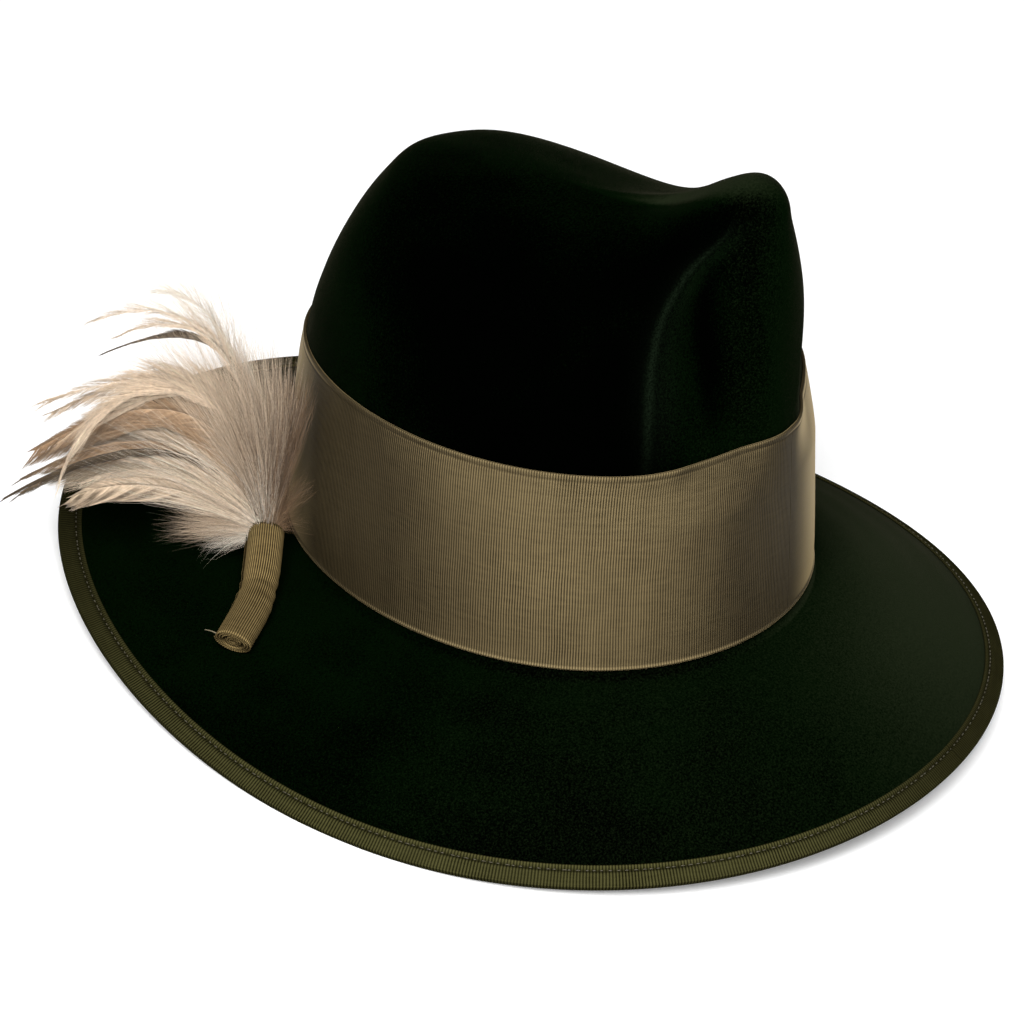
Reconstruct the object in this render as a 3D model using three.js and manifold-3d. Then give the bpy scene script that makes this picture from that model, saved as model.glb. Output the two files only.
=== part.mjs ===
// A tall black felt hat: one felt shell for crown and brim, a wide ribbon round the crown,
// a ribbon bound over the edge of the brim, and a plume of feathers held in a rolled ribbon.
// Millimetres, +Z up, the wearer's front towards -Y and the wearer's right towards -X.
// The hat is worked out in its own frame, with Z = 0 where crown and brim meet, and is then
// turned and lifted to the way it rests by itself, with its origin under the middle of its box.

import * as THREE from "three";
import { mergeVertices } from "three/addons/utils/BufferGeometryUtils.js";
import Module from "manifold-3d";

const wasm = await Module();
wasm.setup();

// Felt shell
const crownLength = 201.8;
const crownWidth = 167.8;
const crownHeight = 152;
const feltWall = 2.2;
const breakRadius = 4;
const filletAngle = 68;
const ridgeOffset = 14;

// Front of the crown: the knob over the forehead and the two pinches beside it
const knobRise = 16;
const knobLength = 44;
const knobWidth = 80;
const knobReach = 78;
const ridgeRise = 6;
const ridgeStart = 20;
const ridgeEnd = 60;
const saddleDepth = 8;
const saddleLength = 85;
const saddleReach = 28;
const liftStart = 0.7;
const liftFull = 0.97;
const pinchDepth = 13;
const pinchFoot = 0.36;
const pinchTop = 1.04;
const pinchDeepest = 0.7;

// Brim, from the foot of the crown to the edge of the felt
const brimFront = 73.5;
const brimSide = 78.5;
const brimBack = 87;
const dropFront = 39.3;
const dropSide = 35.7;
const dropBack = 3;
const brimCurve = 0.4;

// Ribbons
const bandHeight = 76;
const bandLift = 0.6;
const bandRows = [0, 0.35, 0.6, 0.8, 1];
const ribbonThickness = 0.9;
const bindingWidth = 8.5;
const seatGap = 0.3;

// Roll of ribbon that holds the plume: it lies on the brim and rises towards the crown
const rollRadius = 7;
const rollCore = 3.5;
const rollTurns = 3;
const rollSeat = 0.6;
const rollFoot = { turn: -114.5, out: 0.58 };
const rollBend = { turn: -123, out: 0.33 };
const rollRise = 10;
const rollHead = { turn: -135, out: 0.14, rise: rollRise };

// Plume: it fans out in an upright plane that points away from the crown, over the edge
const plumeLength = 96;
const plumeHeading = 28;
const plumeRootDepth = 9;
const plumeRootRise = 3.5;
const plumeFlatness = 0.2;

// Width of a lock along its length, as shares of its full width and of its length
const lockRoot = 0.3;
const lockTip = 0.08;
const lockFull = 0.45;
const lockTaper = 0.6;
const bowLean = 0.33;

// How the hat rests: it leans back, and the felt is pressed flat where the sides of its edge touch
const restLean = 5.1;
const pressedDepth = 1.2;

// Steps of the grids
const turnSteps = 64;
const crownSteps = 12;
const filletSteps = 3;
const brimSteps = 5;
const frontFineness = 0.35;
const rollSides = 12;
const rollSteps = 4;
const featherSteps = 7;
const rootSides = 8;

// Plain colours and roughness of the materials
const feltLook = { color: 0x0b120c, roughness: 0.95 };
const bandLook = { color: 0x4a4028, roughness: 0.7 };
const trimLook = { color: 0x33301c, roughness: 0.7 };
const plumeLook = { color: 0xb8a58c, roughness: 0.85 };

// Sections of the crown, from the foot to the top. rise is a share of crownHeight, front and back
// are shares of half of crownLength, side is a share of half of crownWidth, and breadth is how
// much wider the front is than the middle, as a share of it.
const crownRows = [
  { rise: 0.0, front: 1.0, back: 1.0, side: 1.0, breadth: 0.144 },
  { rise: 0.24, front: 0.985, back: 0.98, side: 0.985, breadth: 0.14 },
  { rise: 0.48, front: 0.972, back: 0.94, side: 0.95, breadth: 0.12 },
  { rise: 0.66, front: 0.965, back: 0.865, side: 0.865, breadth: 0.04 },
  { rise: 0.8, front: 0.95, back: 0.765, side: 0.735, breadth: -0.08 },
  { rise: 0.905, front: 0.918, back: 0.67, side: 0.56, breadth: -0.18 },
  { rise: 0.972, front: 0.862, back: 0.56, side: 0.36, breadth: -0.25 },
  { rise: 1.0, front: 0.54, back: 0.33, side: 0.14, breadth: -0.3 },
];

// The pinch beside the knob, from pinchFoot to pinchTop as shares of crownHeight in even steps.
// crease and border are its edges towards the side and the front, in degrees from the front,
// and depth is a share of pinchDepth.
const pinchRows = [
  { crease: 43, border: 6, depth: 0 },
  { crease: 43, border: 6, depth: 0.2 },
  { crease: 43, border: 6, depth: 0.5 },
  { crease: 42, border: 7, depth: 0.8 },
  { crease: 40, border: 9, depth: 1 },
  { crease: 35.5, border: 11, depth: 1 },
  { crease: 24, border: 12, depth: 0.75 },
  { crease: 7, border: 6, depth: 0 },
];

// Locks of the plume. tipOut, tipUp, bowOut and bowUp place each lock's tip and the handle of its
// bow in the plume's plane, lean is how far the tip comes out of that plane, and width is that of
// the lock, all as shares of plumeLength.
const plumeRows = [
  { tipOut: 0.69, tipUp: 0.78, bowOut: 0.05, bowUp: 1.25, lean: -0.1, width: 0.11 },
  { tipOut: 0.67, tipUp: 0.7, bowOut: 0.08, bowUp: 1.12, lean: 0.06, width: 0.12 },
  { tipOut: 0.88, tipUp: 0.39, bowOut: 0.12, bowUp: 0.84, lean: -0.06, width: 0.16 },
  { tipOut: 0.78, tipUp: 0.17, bowOut: 0.42, bowUp: 0.87, lean: 0.12, width: 0.12 },
  { tipOut: 0.86, tipUp: 0.2, bowOut: 0.16, bowUp: 0.56, lean: -0.12, width: 0.2 },
  { tipOut: 0.9, tipUp: 0.14, bowOut: 0.23, bowUp: 0.47, lean: 0.05, width: 0.15 },
  { tipOut: 1.0, tipUp: 0.04, bowOut: 0.26, bowUp: 0.43, lean: -0.02, width: 0.11 },
  { tipOut: 0.75, tipUp: 0.04, bowOut: 0.3, bowUp: 0.18, lean: 0.08, width: 0.16 },
  { tipOut: 0.36, tipUp: 0.01, bowOut: 0.17, bowUp: 0.07, lean: 0.1, width: 0.13 },
  { tipOut: 0.21, tipUp: 0.76, bowOut: 0.03, bowUp: 0.45, lean: -0.08, width: 0.17 },
  { tipOut: 0.4, tipUp: 0.62, bowOut: 0.08, bowUp: 0.5, lean: 0.1, width: 0.2 },
  { tipOut: 0.07, tipUp: 0.92, bowOut: 0, bowUp: 0.5, lean: 0.04, width: 0.14 },
  { tipOut: -0.05, tipUp: 0.86, bowOut: -0.03, bowUp: 0.47, lean: 0.1, width: 0.15 },
  { tipOut: -0.13, tipUp: 0.64, bowOut: -0.08, bowUp: 0.35, lean: 0.14, width: 0.13 },
];

const degrees = Math.PI / 180;
const halfLength = crownLength / 2;
const halfWidth = crownWidth / 2;

// Every outer face of the hat looks along a direction that leans up from the level by this much.
const faceSlope = 0.6;

function mix(low, high, share) {
  return low + (high - low) * share;
}

function smooth(low, high, value) {
  const share = Math.min(Math.max((value - low) / (high - low), 0), 1);
  return share * share * (3 - 2 * share);
}

// A rounded hump of height 1, with its given width at about a third of its height.
function hump(distance, width) {
  return Math.exp(-((2 * distance / width) ** 2));
}

// A smooth value from one column of a table, at a place between its first and last row.
function column(rows, name, place) {
  const at = Math.min(Math.max(place, 0), 1) * (rows.length - 1);
  const row = Math.min(Math.floor(at), rows.length - 2);
  const share = at - row;
  const value = (index) => rows[Math.min(Math.max(index, 0), rows.length - 1)][name];
  const slopeLow = (value(row + 1) - value(row - 1)) / 2;
  const slopeHigh = (value(row + 2) - value(row)) / 2;
  const gap = value(row + 1) - value(row);
  const bend = share * (1 - share);
  return mix(value(row), value(row + 1), share)
    + bend * ((slopeLow - gap) * (1 - share) - (slopeHigh - gap) * share);
}

// A point of a level egg shape, at a turn measured from the front.
function oval(turn, front, back, side, breadth) {
  const sine = Math.sin(turn);
  const cosine = Math.cos(turn);
  const reach = cosine > 0 ? front : back;
  return new THREE.Vector3(side * sine * (1 + breadth * cosine), -reach * cosine, 0);
}

// The foot of the crown, and the level direction that points out of it.
function footPoint(turn) {
  return oval(turn, halfLength, halfLength, halfWidth, crownRows[0].breadth);
}

function outward(turn) {
  const step = 0.01;
  const way = footPoint(turn + step).sub(footPoint(turn - step));
  return new THREE.Vector3(way.y, -way.x, 0).normalize();
}

// One value from three that hold at the front, the sides and the back of the hat.
function around(turn, front, side, back) {
  const mean = (front + back + 2 * side) / 4;
  const tilt = (front - back) / 2;
  const saddle = (front + back - 2 * side) / 4;
  return mean + tilt * Math.cos(turn) + saddle * Math.cos(2 * turn);
}

// Outer face of the crown: place runs from 0 at the foot to 1 at the top.
function crownPoint(turn, place) {
  const reach = (name) => column(crownRows, name, place);
  const point = oval(
    turn,
    reach("front") * halfLength,
    reach("back") * halfLength,
    reach("side") * halfWidth,
    reach("breadth"),
  );
  point.z = reach("rise") * crownHeight;
  const knob = hump(point.y + knobReach, knobLength) * hump(point.x, knobWidth);
  const ridge = smooth(ridgeStart, -ridgeEnd, point.y);
  const saddle = hump(point.y + saddleReach, saddleLength);
  const lift = knobRise * knob + ridgeRise * ridge - saddleDepth * saddle;
  point.z += lift * smooth(liftStart, liftFull, reach("rise"));
  return point.addScaledVector(outward(turn), -pinchAt(turn, point.z / crownHeight));
}

// How far the pinches push the crown in. Each falls from its crease to its deepest line, and
// rises again in a round to its border.
function pinchAt(turn, rise) {
  const place = (rise - pinchFoot) / (pinchTop - pinchFoot);
  if (place < 0 || place > 1) return 0;
  const angle = Math.abs(Math.atan2(Math.sin(turn), Math.cos(turn))) / degrees;
  const crease = column(pinchRows, "crease", place);
  const border = column(pinchRows, "border", place);
  const share = (crease - angle) / (crease - border);
  if (share < 0 || share > 1) return 0;
  const fall = Math.sin((Math.min(share / pinchDeepest, 1) * Math.PI) / 2);
  const rest = smooth(1, pinchDeepest, share);
  return pinchDepth * column(pinchRows, "depth", place) * fall * rest;
}

// The place on the crown's table where the felt stands at a height, by halving the range.
function placeAt(height) {
  let low = 0;
  let high = 1;
  for (let step = 0; step < 30; step += 1) {
    const middle = (low + high) / 2;
    if (column(crownRows, "rise", middle) * crownHeight < height) low = middle;
    else high = middle;
  }
  return low;
}

// Places of the rows that the band and the felt behind it share, from its lower edge up.
function bandPlaces() {
  return bandRows.map((share) => placeAt(bandLift + bandHeight * share));
}

// Outer face of the fillet where the crown turns into the brim, from 0 at the crown to 1.
function filletPoint(turn, place) {
  const angle = place * filletAngle * degrees;
  const foot = crownPoint(turn, 0);
  foot.addScaledVector(outward(turn), breakRadius * (1 - Math.cos(angle)));
  foot.z = -breakRadius * Math.sin(angle);
  return foot;
}

function brimWidth(turn) {
  return around(turn, brimFront, brimSide, brimBack);
}

// Upper face of the brim: share runs from 0 at the fillet to 1 at the edge of the felt.
function brimPoint(turn, share) {
  const start = filletPoint(turn, 1);
  const rim = footPoint(turn).addScaledVector(outward(turn), brimWidth(turn));
  const drop = around(turn, dropFront, dropSide, dropBack);
  const point = start.clone().lerp(rim, share);
  point.z = start.z * (1 - share) - drop * mix(share, share * share, brimCurve);
  return point;
}

// Turns with a finer step over the front, where the pinches are.
function turns() {
  return Array.from({ length: turnSteps }, (unused, index) => {
    const even = (index / turnSteps) * 2 * Math.PI;
    return even - frontFineness * Math.sin(even);
  });
}

// A geometry from points, or from their plain numbers, and the corners of its triangles.
function bodyOf(points, corners) {
  const numbers = points[0].isVector3 ? points.flatMap((point) => point.toArray()) : points;
  const geometry = new THREE.BufferGeometry();
  geometry.setAttribute("position", new THREE.Float32BufferAttribute(numbers, 3));
  geometry.setIndex(Array.from(corners));
  return geometry;
}

// A closed body from rings of points, each ring the same length. With caps, a first and a last
// point close the ends; without them, the last ring joins the first.
function ringBody(rings, caps) {
  const size = rings[0].length;
  const points = rings.flat();
  const faces = [];
  const quad = (a, b, c, d) => {
    const split = points[a].distanceTo(points[c]) < points[b].distanceTo(points[d]);
    faces.push(...(split ? [a, c, b, a, d, c] : [a, d, b, b, d, c]));
  };
  const joins = caps ? rings.length - 1 : rings.length;
  for (let row = 0; row < joins; row += 1) {
    const low = row * size;
    const high = ((row + 1) % rings.length) * size;
    for (let index = 0; index < size; index += 1) {
      const next = (index + 1) % size;
      quad(low + index, low + next, high + next, high + index);
    }
  }
  if (caps) {
    const first = points.push(caps[0]) - 1;
    const last = points.push(caps[1]) - 1;
    const end = (rings.length - 1) * size;
    for (let index = 0; index < size; index += 1) {
      const next = (index + 1) % size;
      faces.push(first, index, next);
      faces.push(last, end + next, end + index);
    }
  }
  return bodyOf(points, faces);
}

// A point off a face, by a distance along its outward normal.
function raised(surface, turn, share, distance) {
  const step = 1e-3;
  const along = surface(turn, share + step).sub(surface(turn, share - step));
  const round = surface(turn + step, share).sub(surface(turn - step, share));
  const away = along.cross(round).normalize();
  if (away.dot(outward(turn).setZ(faceSlope)) < 0) away.negate();
  return surface(turn, share).addScaledVector(away, distance);
}

// Turns the hat from its own frame to the way it rests.
function rested(point) {
  return point.applyAxisAngle(new THREE.Vector3(1, 0, 0), -restLean * degrees);
}

// Height of the surface that the hat rests on, which the edge of the brim is pressed against.
function restHeight() {
  const depth = feltWall + seatGap + ribbonThickness;
  const heights = turns().map((turn) => rested(raised(brimPoint, turn, 1, -depth)).z);
  return Math.min(...heights) + pressedDepth;
}

// A ring of points round the hat, rested, and kept a clearance above the surface below.
function ring(surface, share, distance, clearance) {
  return turns().map((turn) => {
    const point = rested(raised(surface, turn, share, distance));
    point.z = Math.max(point.z - floorHeight, clearance);
    return point;
  });
}

// Share of the brim's width where the binding's inner edges lie.
function bindingShare(turn) {
  return 1 - bindingWidth / brimWidth(turn);
}

// The brim's upper face, from 0 at the fillet, 1 at the binding's inner edge and 2 at the rim.
function boundBrim(turn, place) {
  const edge = bindingShare(turn);
  return brimPoint(turn, place < 1 ? edge * place : mix(edge, 1, place - 1));
}

// Rows of the felt from the top of the crown to the edge of the brim, each with its surface.
function feltRows() {
  const rows = [];
  const bandTop = bandPlaces().at(-1);
  for (let step = crownSteps; step > 0; step -= 1) {
    rows.push({ surface: crownPoint, share: mix(bandTop, 1, step / crownSteps) });
  }
  bandPlaces().reverse().forEach((share) => rows.push({ surface: crownPoint, share }));
  for (let step = 0; step < filletSteps; step += 1) {
    rows.push({ surface: filletPoint, share: step / filletSteps });
  }
  for (let step = 0; step < brimSteps; step += 1) {
    rows.push({ surface: boundBrim, share: step / (brimSteps - 1) });
  }
  rows.push({ surface: boundBrim, share: 2 });
  return rows;
}

function feltBody() {
  const clearance = ribbonThickness + seatGap;
  const rows = feltRows();
  const outer = rows.map((row) => ring(row.surface, row.share, 0, clearance));
  const inner = rows.map((row) => ring(row.surface, row.share, -feltWall, clearance));
  const top = new THREE.Vector3(0, -ridgeOffset, outer[0][0].z);
  top.z = (outer[0][0].z + outer[0][turnSteps / 2].z) / 2;
  const under = top.clone();
  under.z -= feltWall;
  return ringBody([...outer, ...inner.reverse()], [top, under]);
}

function hatBand() {
  const inner = bandPlaces().map((share) => ring(crownPoint, share, seatGap, 0));
  const face = seatGap + ribbonThickness;
  const outer = bandPlaces().map((share) => ring(crownPoint, share, face, 0));
  return ringBody([...outer.reverse(), ...inner]);
}

// The binding's section: over the edge of the felt, round its nose and back below it.
function brimBinding() {
  const face = seatGap + ribbonThickness;
  const nose = face / brimSide;
  const below = -feltWall - seatGap;
  const edge = seatGap / brimSide;
  const outer = [
    [boundBrim, 1, face],
    [boundBrim, 2, face],
    [brimPoint, 1 + nose, 0],
    [brimPoint, 1 + nose, -feltWall],
    [boundBrim, 2, below - ribbonThickness],
    [boundBrim, 1, below - ribbonThickness],
  ];
  const inner = [
    [boundBrim, 1, below],
    [brimPoint, 1 + edge, below],
    [brimPoint, 1 + edge, seatGap],
    [boundBrim, 1, seatGap],
  ];
  return ringBody([
    ...outer.map(([surface, share, distance]) => ring(surface, share, distance, 0)),
    ...inner.map(([surface, share, distance]) => ring(surface, share, distance, ribbonThickness)),
  ]);
}

// A smooth line through a few points.
function lineThrough(points) {
  return new THREE.CatmullRomCurve3(points, false, "centripetal");
}

// The middle line of the roll, from its foot on the brim to its head, rested.
function rollLine() {
  const spots = [rollFoot, rollBend, rollHead].map(({ turn, out, rise = 0 }) => {
    const spot = raised(brimPoint, turn * degrees, out, rollRadius + rollSeat);
    spot.z += rise;
    return rested(spot).setZ(spot.z - floorHeight);
  });
  return lineThrough(spots);
}

// Rings of a section carried along a line, the section's points given in mm as [across, up].
function carried(line, section, steps, widthAt = () => 1, side = null) {
  return Array.from({ length: steps + 1 }, (unused, step) => {
    const share = step / steps;
    const middle = line.getPointAt(share);
    const along = line.getTangentAt(share);
    const across = (side ?? new THREE.Vector3(0, 0, 1)).clone().cross(along).normalize();
    const up = along.clone().cross(across).normalize();
    const scale = widthAt(share);
    return section.map(([x, y]) => (
      middle.clone().addScaledVector(across, x * scale).addScaledVector(up, y * scale)
    ));
  });
}

// The roll's section: a ribbon wound in a spiral from its core to its outside.
function rollSection() {
  const count = rollTurns * rollSides;
  const grow = (rollRadius - rollCore - ribbonThickness) / count;
  const face = (inset) => Array.from({ length: count + 1 }, (unused, step) => {
    const angle = (step / rollSides) * 2 * Math.PI;
    const radius = rollCore + inset + grow * step;
    return [radius * Math.cos(angle), radius * Math.sin(angle)];
  });
  return [...face(ribbonThickness), ...face(0).reverse()];
}

// A closed body from rings that ends in flat caps, cut in triangles across the section.
function cappedBody(rings, section) {
  const outline = section.map(([x, y]) => new THREE.Vector2(x, y));
  const cap = THREE.ShapeUtils.triangulateShape(outline, []);
  const size = section.length;
  const end = (rings.length - 1) * size;
  const points = rings.flat();
  const faces = [];
  for (let row = 0; row < rings.length - 1; row += 1) {
    for (let index = 0; index < size; index += 1) {
      const next = (index + 1) % size;
      const [a, b] = [row * size + index, row * size + next];
      faces.push(a, b, b + size, a, b + size, a + size);
    }
  }
  cap.forEach(([a, b, c]) => faces.push(a, c, b, end + a, end + b, end + c));
  return bodyOf(points, faces);
}

function rolledStem() {
  const section = rollSection();
  return cappedBody(carried(rollLine(), section, rollSteps), section);
}

function solidOf(geometry) {
  const merged = mergeVertices(geometry, 1e-3);
  return new wasm.Manifold(new wasm.Mesh({
    numProp: 3,
    vertProperties: merged.attributes.position.array,
    triVerts: new Uint32Array(merged.index.array),
  }));
}

// One lock of the plume: a flat strip on a bowed line, pointed at its tip.
function lock(root, out, viewer, row) {
  const upright = new THREE.Vector3(0, 0, 1);
  const spot = (outShare, upShare, leanShare) => (
    root.clone()
      .addScaledVector(out, outShare * plumeLength)
      .addScaledVector(upright, upShare * plumeLength)
      .addScaledVector(viewer, leanShare * plumeLength)
  );
  const line = new THREE.QuadraticBezierCurve3(
    root.clone(),
    spot(row.bowOut, row.bowUp, row.lean * bowLean),
    spot(row.tipOut, row.tipUp, row.lean),
  );
  const half = (row.width * plumeLength) / 2;
  const flat = half * plumeFlatness;
  const section = [[half, 0], [half / 2, flat], [-half / 2, flat]]
    .concat([[-half, 0], [-half / 2, -flat], [half / 2, -flat]]);
  const widthAt = (share) => (
    mix(lockRoot, 1, smooth(0, lockFull, share)) - (1 - lockTip) * smooth(lockTaper, 1, share)
  );
  return cappedBody(carried(line, section, featherSteps, widthAt, viewer), section);
}

// The plume: its locks joined to a round root that stands in the core of the roll.
function plume() {
  const line = rollLine();
  const head = line.getPointAt(1);
  const along = line.getTangentAt(1);
  const heading = plumeHeading * degrees;
  const out = new THREE.Vector3(-Math.sin(heading), Math.cos(heading), 0);
  const viewer = new THREE.Vector3(-out.y, out.x, 0);
  const radius = rollCore - seatGap;
  const section = Array.from({ length: rootSides }, (unused, side) => {
    const angle = (side / rootSides) * 2 * Math.PI;
    return [radius * Math.cos(angle), radius * Math.sin(angle)];
  });
  const foot = head.clone().addScaledVector(along, -plumeRootDepth);
  const start = head.clone().addScaledVector(along, plumeRootRise);
  const root = new THREE.LineCurve3(foot, start);
  const solid = plumeRows.reduce(
    (whole, row) => whole.add(solidOf(lock(start, out, viewer, row))),
    solidOf(cappedBody(carried(root, section, 1), section)),
  );
  const mesh = solid.getMesh();
  return bodyOf(mesh.vertProperties, mesh.triVerts);
}

function addPiece(name, geometry, look) {
  const material = new THREE.MeshStandardMaterial({ ...look, metalness: 0 });
  const mesh = new THREE.Mesh(geometry, material);
  mesh.name = name;
  group.add(mesh);
}

// Moves every piece so that the origin lies under the middle of the whole hat's box.
function centre() {
  const box = new THREE.Box3().setFromObject(group);
  const middle = box.getCenter(new THREE.Vector3());
  group.children.forEach((mesh) => mesh.geometry.translate(-middle.x, -middle.y, 0));
}

const floorHeight = restHeight();
const group = new THREE.Group();
addPiece("felt_body", feltBody(), feltLook);
addPiece("hat_band", hatBand(), bandLook);
addPiece("brim_binding", brimBinding(), trimLook);
addPiece("rolled_stem", rolledStem(), trimLook);
addPiece("plume", plume(), plumeLook);
centre();

export default group;
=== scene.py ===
"""Felt hat with a ribbon band, a bound brim and a plume: the looks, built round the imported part.

Every surface is worked out from the same named sizes as the part's solids, in metres. The hat is
made in its own frame, with z = 0 where crown and brim meet and the front towards -y, and is then
turned and lifted to the way it rests by itself.
"""

import logging
import math
from collections.abc import Callable
from dataclasses import dataclass, field
from enum import Enum

import bpy
import numpy as np
from mathutils import Matrix, Vector

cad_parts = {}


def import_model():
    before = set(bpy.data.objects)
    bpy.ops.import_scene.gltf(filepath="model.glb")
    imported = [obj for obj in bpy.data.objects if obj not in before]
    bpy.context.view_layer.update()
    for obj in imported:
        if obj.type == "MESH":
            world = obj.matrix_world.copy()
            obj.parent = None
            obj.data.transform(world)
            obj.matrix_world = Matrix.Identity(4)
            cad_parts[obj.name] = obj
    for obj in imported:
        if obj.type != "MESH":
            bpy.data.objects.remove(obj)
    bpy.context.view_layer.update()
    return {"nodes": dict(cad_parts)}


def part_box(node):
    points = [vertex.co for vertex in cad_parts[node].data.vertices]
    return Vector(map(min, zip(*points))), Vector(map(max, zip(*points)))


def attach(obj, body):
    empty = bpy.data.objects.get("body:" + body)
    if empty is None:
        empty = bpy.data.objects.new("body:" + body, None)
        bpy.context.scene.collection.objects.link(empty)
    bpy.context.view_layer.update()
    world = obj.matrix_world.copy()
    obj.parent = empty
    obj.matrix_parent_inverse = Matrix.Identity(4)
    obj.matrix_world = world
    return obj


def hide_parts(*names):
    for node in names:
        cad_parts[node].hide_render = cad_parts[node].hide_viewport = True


log = logging.getLogger("hat")
MM = 0.001
Colour = tuple[float, float, float]
Array = np.ndarray
Surface = Callable[[Array, Array], Array]
Faces = list[tuple[Array, Array | None]]


def smooth(low: float, high: float, value: Array) -> Array:
    """A smooth step, s * s * (3 - 2 s), with s the share of the way from low to high."""
    share = np.clip((value - low) / (high - low), 0.0, 1.0)
    return share * share * (3.0 - 2.0 * share)


def hump(distance: Array, width: float) -> Array:
    """A rounded hump of height 1: exp(-(2 d / w)^2)."""
    return np.exp(-((2.0 * distance / width) ** 2))


def unit(vectors: Array) -> Array:
    """The same vectors with length 1."""
    return vectors / np.maximum(np.linalg.norm(vectors, axis=-1, keepdims=True), 1e-12)


def signed_degrees(turn: Array) -> Array:
    """A turn in degrees, from -180 to 180."""
    return np.degrees(np.arctan2(np.sin(turn), np.cos(turn)))


def run_length(path: Array) -> Array:
    """Length along paths, from 0 at their first points."""
    steps = np.linalg.norm(np.diff(path, axis=-2), axis=-1)
    return np.concatenate([np.zeros_like(steps[..., :1]), np.cumsum(steps, axis=-1)], -1)


def read_line(at: Array, places: Array, values: Array) -> Array:
    """Vectors read off a line at given places, each number by straight steps."""
    return np.stack([np.interp(at, places, values[:, k]) for k in range(3)], -1)


def ribbon_places(ring: Array, across: Array) -> Array:
    """u and v of a ribbon's grid: metres along its closed first ring, and metres across."""
    along = run_length(np.concatenate([ring, ring[:1]]))
    return np.stack(np.broadcast_arrays(along[None, :], across[:, None]), -1)


def heading_vector(heading: float, elevation: float) -> Array:
    """The direction (sin h cos e, -cos h cos e, sin e) of a heading from the front, in degrees.

    Args:
        heading: Degrees from the front, round towards the wearer's left.
        elevation: Degrees above the level.

    Returns:
        A vector of length 1.
    """
    turn, rise = math.radians(heading), math.radians(elevation)
    level = math.cos(rise)
    return np.array([math.sin(turn) * level, -math.cos(turn) * level, math.sin(rise)])


@dataclass(frozen=True)
class Stripe:
    """A soft stripe: where its middle is, how wide it is and how strong."""

    middle: float
    width: float
    strength: float

    def at(self, value: Array) -> Array:
        """The stripe's strength at a value: a hump round its middle."""
        return hump(value - self.middle, self.width) * self.strength


@dataclass(frozen=True)
class Streak:
    """A soft streak on the crown: the height of its foot, how tall it is, its turn at the foot
    and by how much it slants, in degrees, its width, how far its ends fade past both, and the
    shares of its height between which it is whole."""

    foot: float
    tall: float
    turn: float
    slant: float
    width: float
    past: float
    inner: tuple[float, float]

    def at(self, turn: Array, height: Array) -> Array:
        """How strong the streak is: a hump round its middle line, faded at both ends.

        Args:
            turn: Turn from the front, in radians.
            height: Metres over the foot of the crown.

        Returns:
            From 0 to 1.
        """
        share = np.clip((height - self.foot) / self.tall, -self.past, 1.0 + self.past)
        middle = self.turn + self.slant * share
        low, high = self.inner
        ends = smooth(-self.past, low, share) * smooth(1.0 + self.past, high, share)
        return hump(signed_degrees(turn) - middle, self.width) * ends


def column(rows: tuple, name: str, place: Array) -> Array:
    """A smooth value from one column of a table, by a Hermite curve with Catmull-Rom slopes.

    Args:
        rows: The table, its rows at even steps of place.
        name: The column.
        place: From 0 at the first row to 1 at the last.

    Returns:
        The column's value at each place.
    """
    values = np.array([getattr(row, name) for row in rows], float)
    last = len(values) - 1
    at = np.clip(place, 0.0, 1.0) * last
    row = np.minimum(at.astype(int), last - 1)
    share = at - row

    def value(index: Array) -> Array:
        """The column at a row, held at its ends."""
        return values[np.clip(index, 0, last)]

    gap = value(row + 1) - value(row)
    low = (value(row + 1) - value(row - 1)) / 2.0
    high = (value(row + 2) - value(row)) / 2.0
    bend = share * (1.0 - share)
    line = value(row) + gap * share
    return line + bend * ((low - gap) * (1.0 - share) - (high - gap) * share)


@dataclass(frozen=True)
class CrownRow:
    """A level section of the crown, as shares of its height, half length and half width."""

    rise: float
    front: float
    back: float
    side: float
    breadth: float


@dataclass(frozen=True)
class PinchRow:
    """A level of the pinch: its crease, deepest line and border in degrees from the front, and a
    share of its depth."""

    crease: float
    valley: float
    border: float
    depth: float


CROWN_ROWS = (
    CrownRow(0.0, 1.0, 1.0, 1.0, 0.144),
    CrownRow(0.24, 0.985, 0.98, 0.985, 0.14),
    CrownRow(0.48, 0.972, 0.94, 0.95, 0.12),
    CrownRow(0.66, 0.965, 0.865, 0.865, 0.04),
    CrownRow(0.8, 0.95, 0.765, 0.735, -0.08),
    CrownRow(0.905, 0.918, 0.67, 0.56, -0.18),
    CrownRow(0.972, 0.862, 0.56, 0.36, -0.25),
    CrownRow(1.0, 0.54, 0.33, 0.14, -0.3),
)
PINCH_ROWS = (
    PinchRow(43.0, 15.0, 2.0, 0.0),
    PinchRow(43.0, 17.0, 2.0, 0.2),
    PinchRow(43.5, 20.0, 3.0, 0.5),
    PinchRow(45.0, 24.0, 6.0, 0.8),
    PinchRow(46.5, 28.0, 12.0, 1.0),
    PinchRow(46.0, 31.0, 18.0, 0.95),
    PinchRow(41.0, 30.0, 20.0, 0.5),
    PinchRow(30.0, 22.0, 14.0, 0.0),
)


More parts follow.
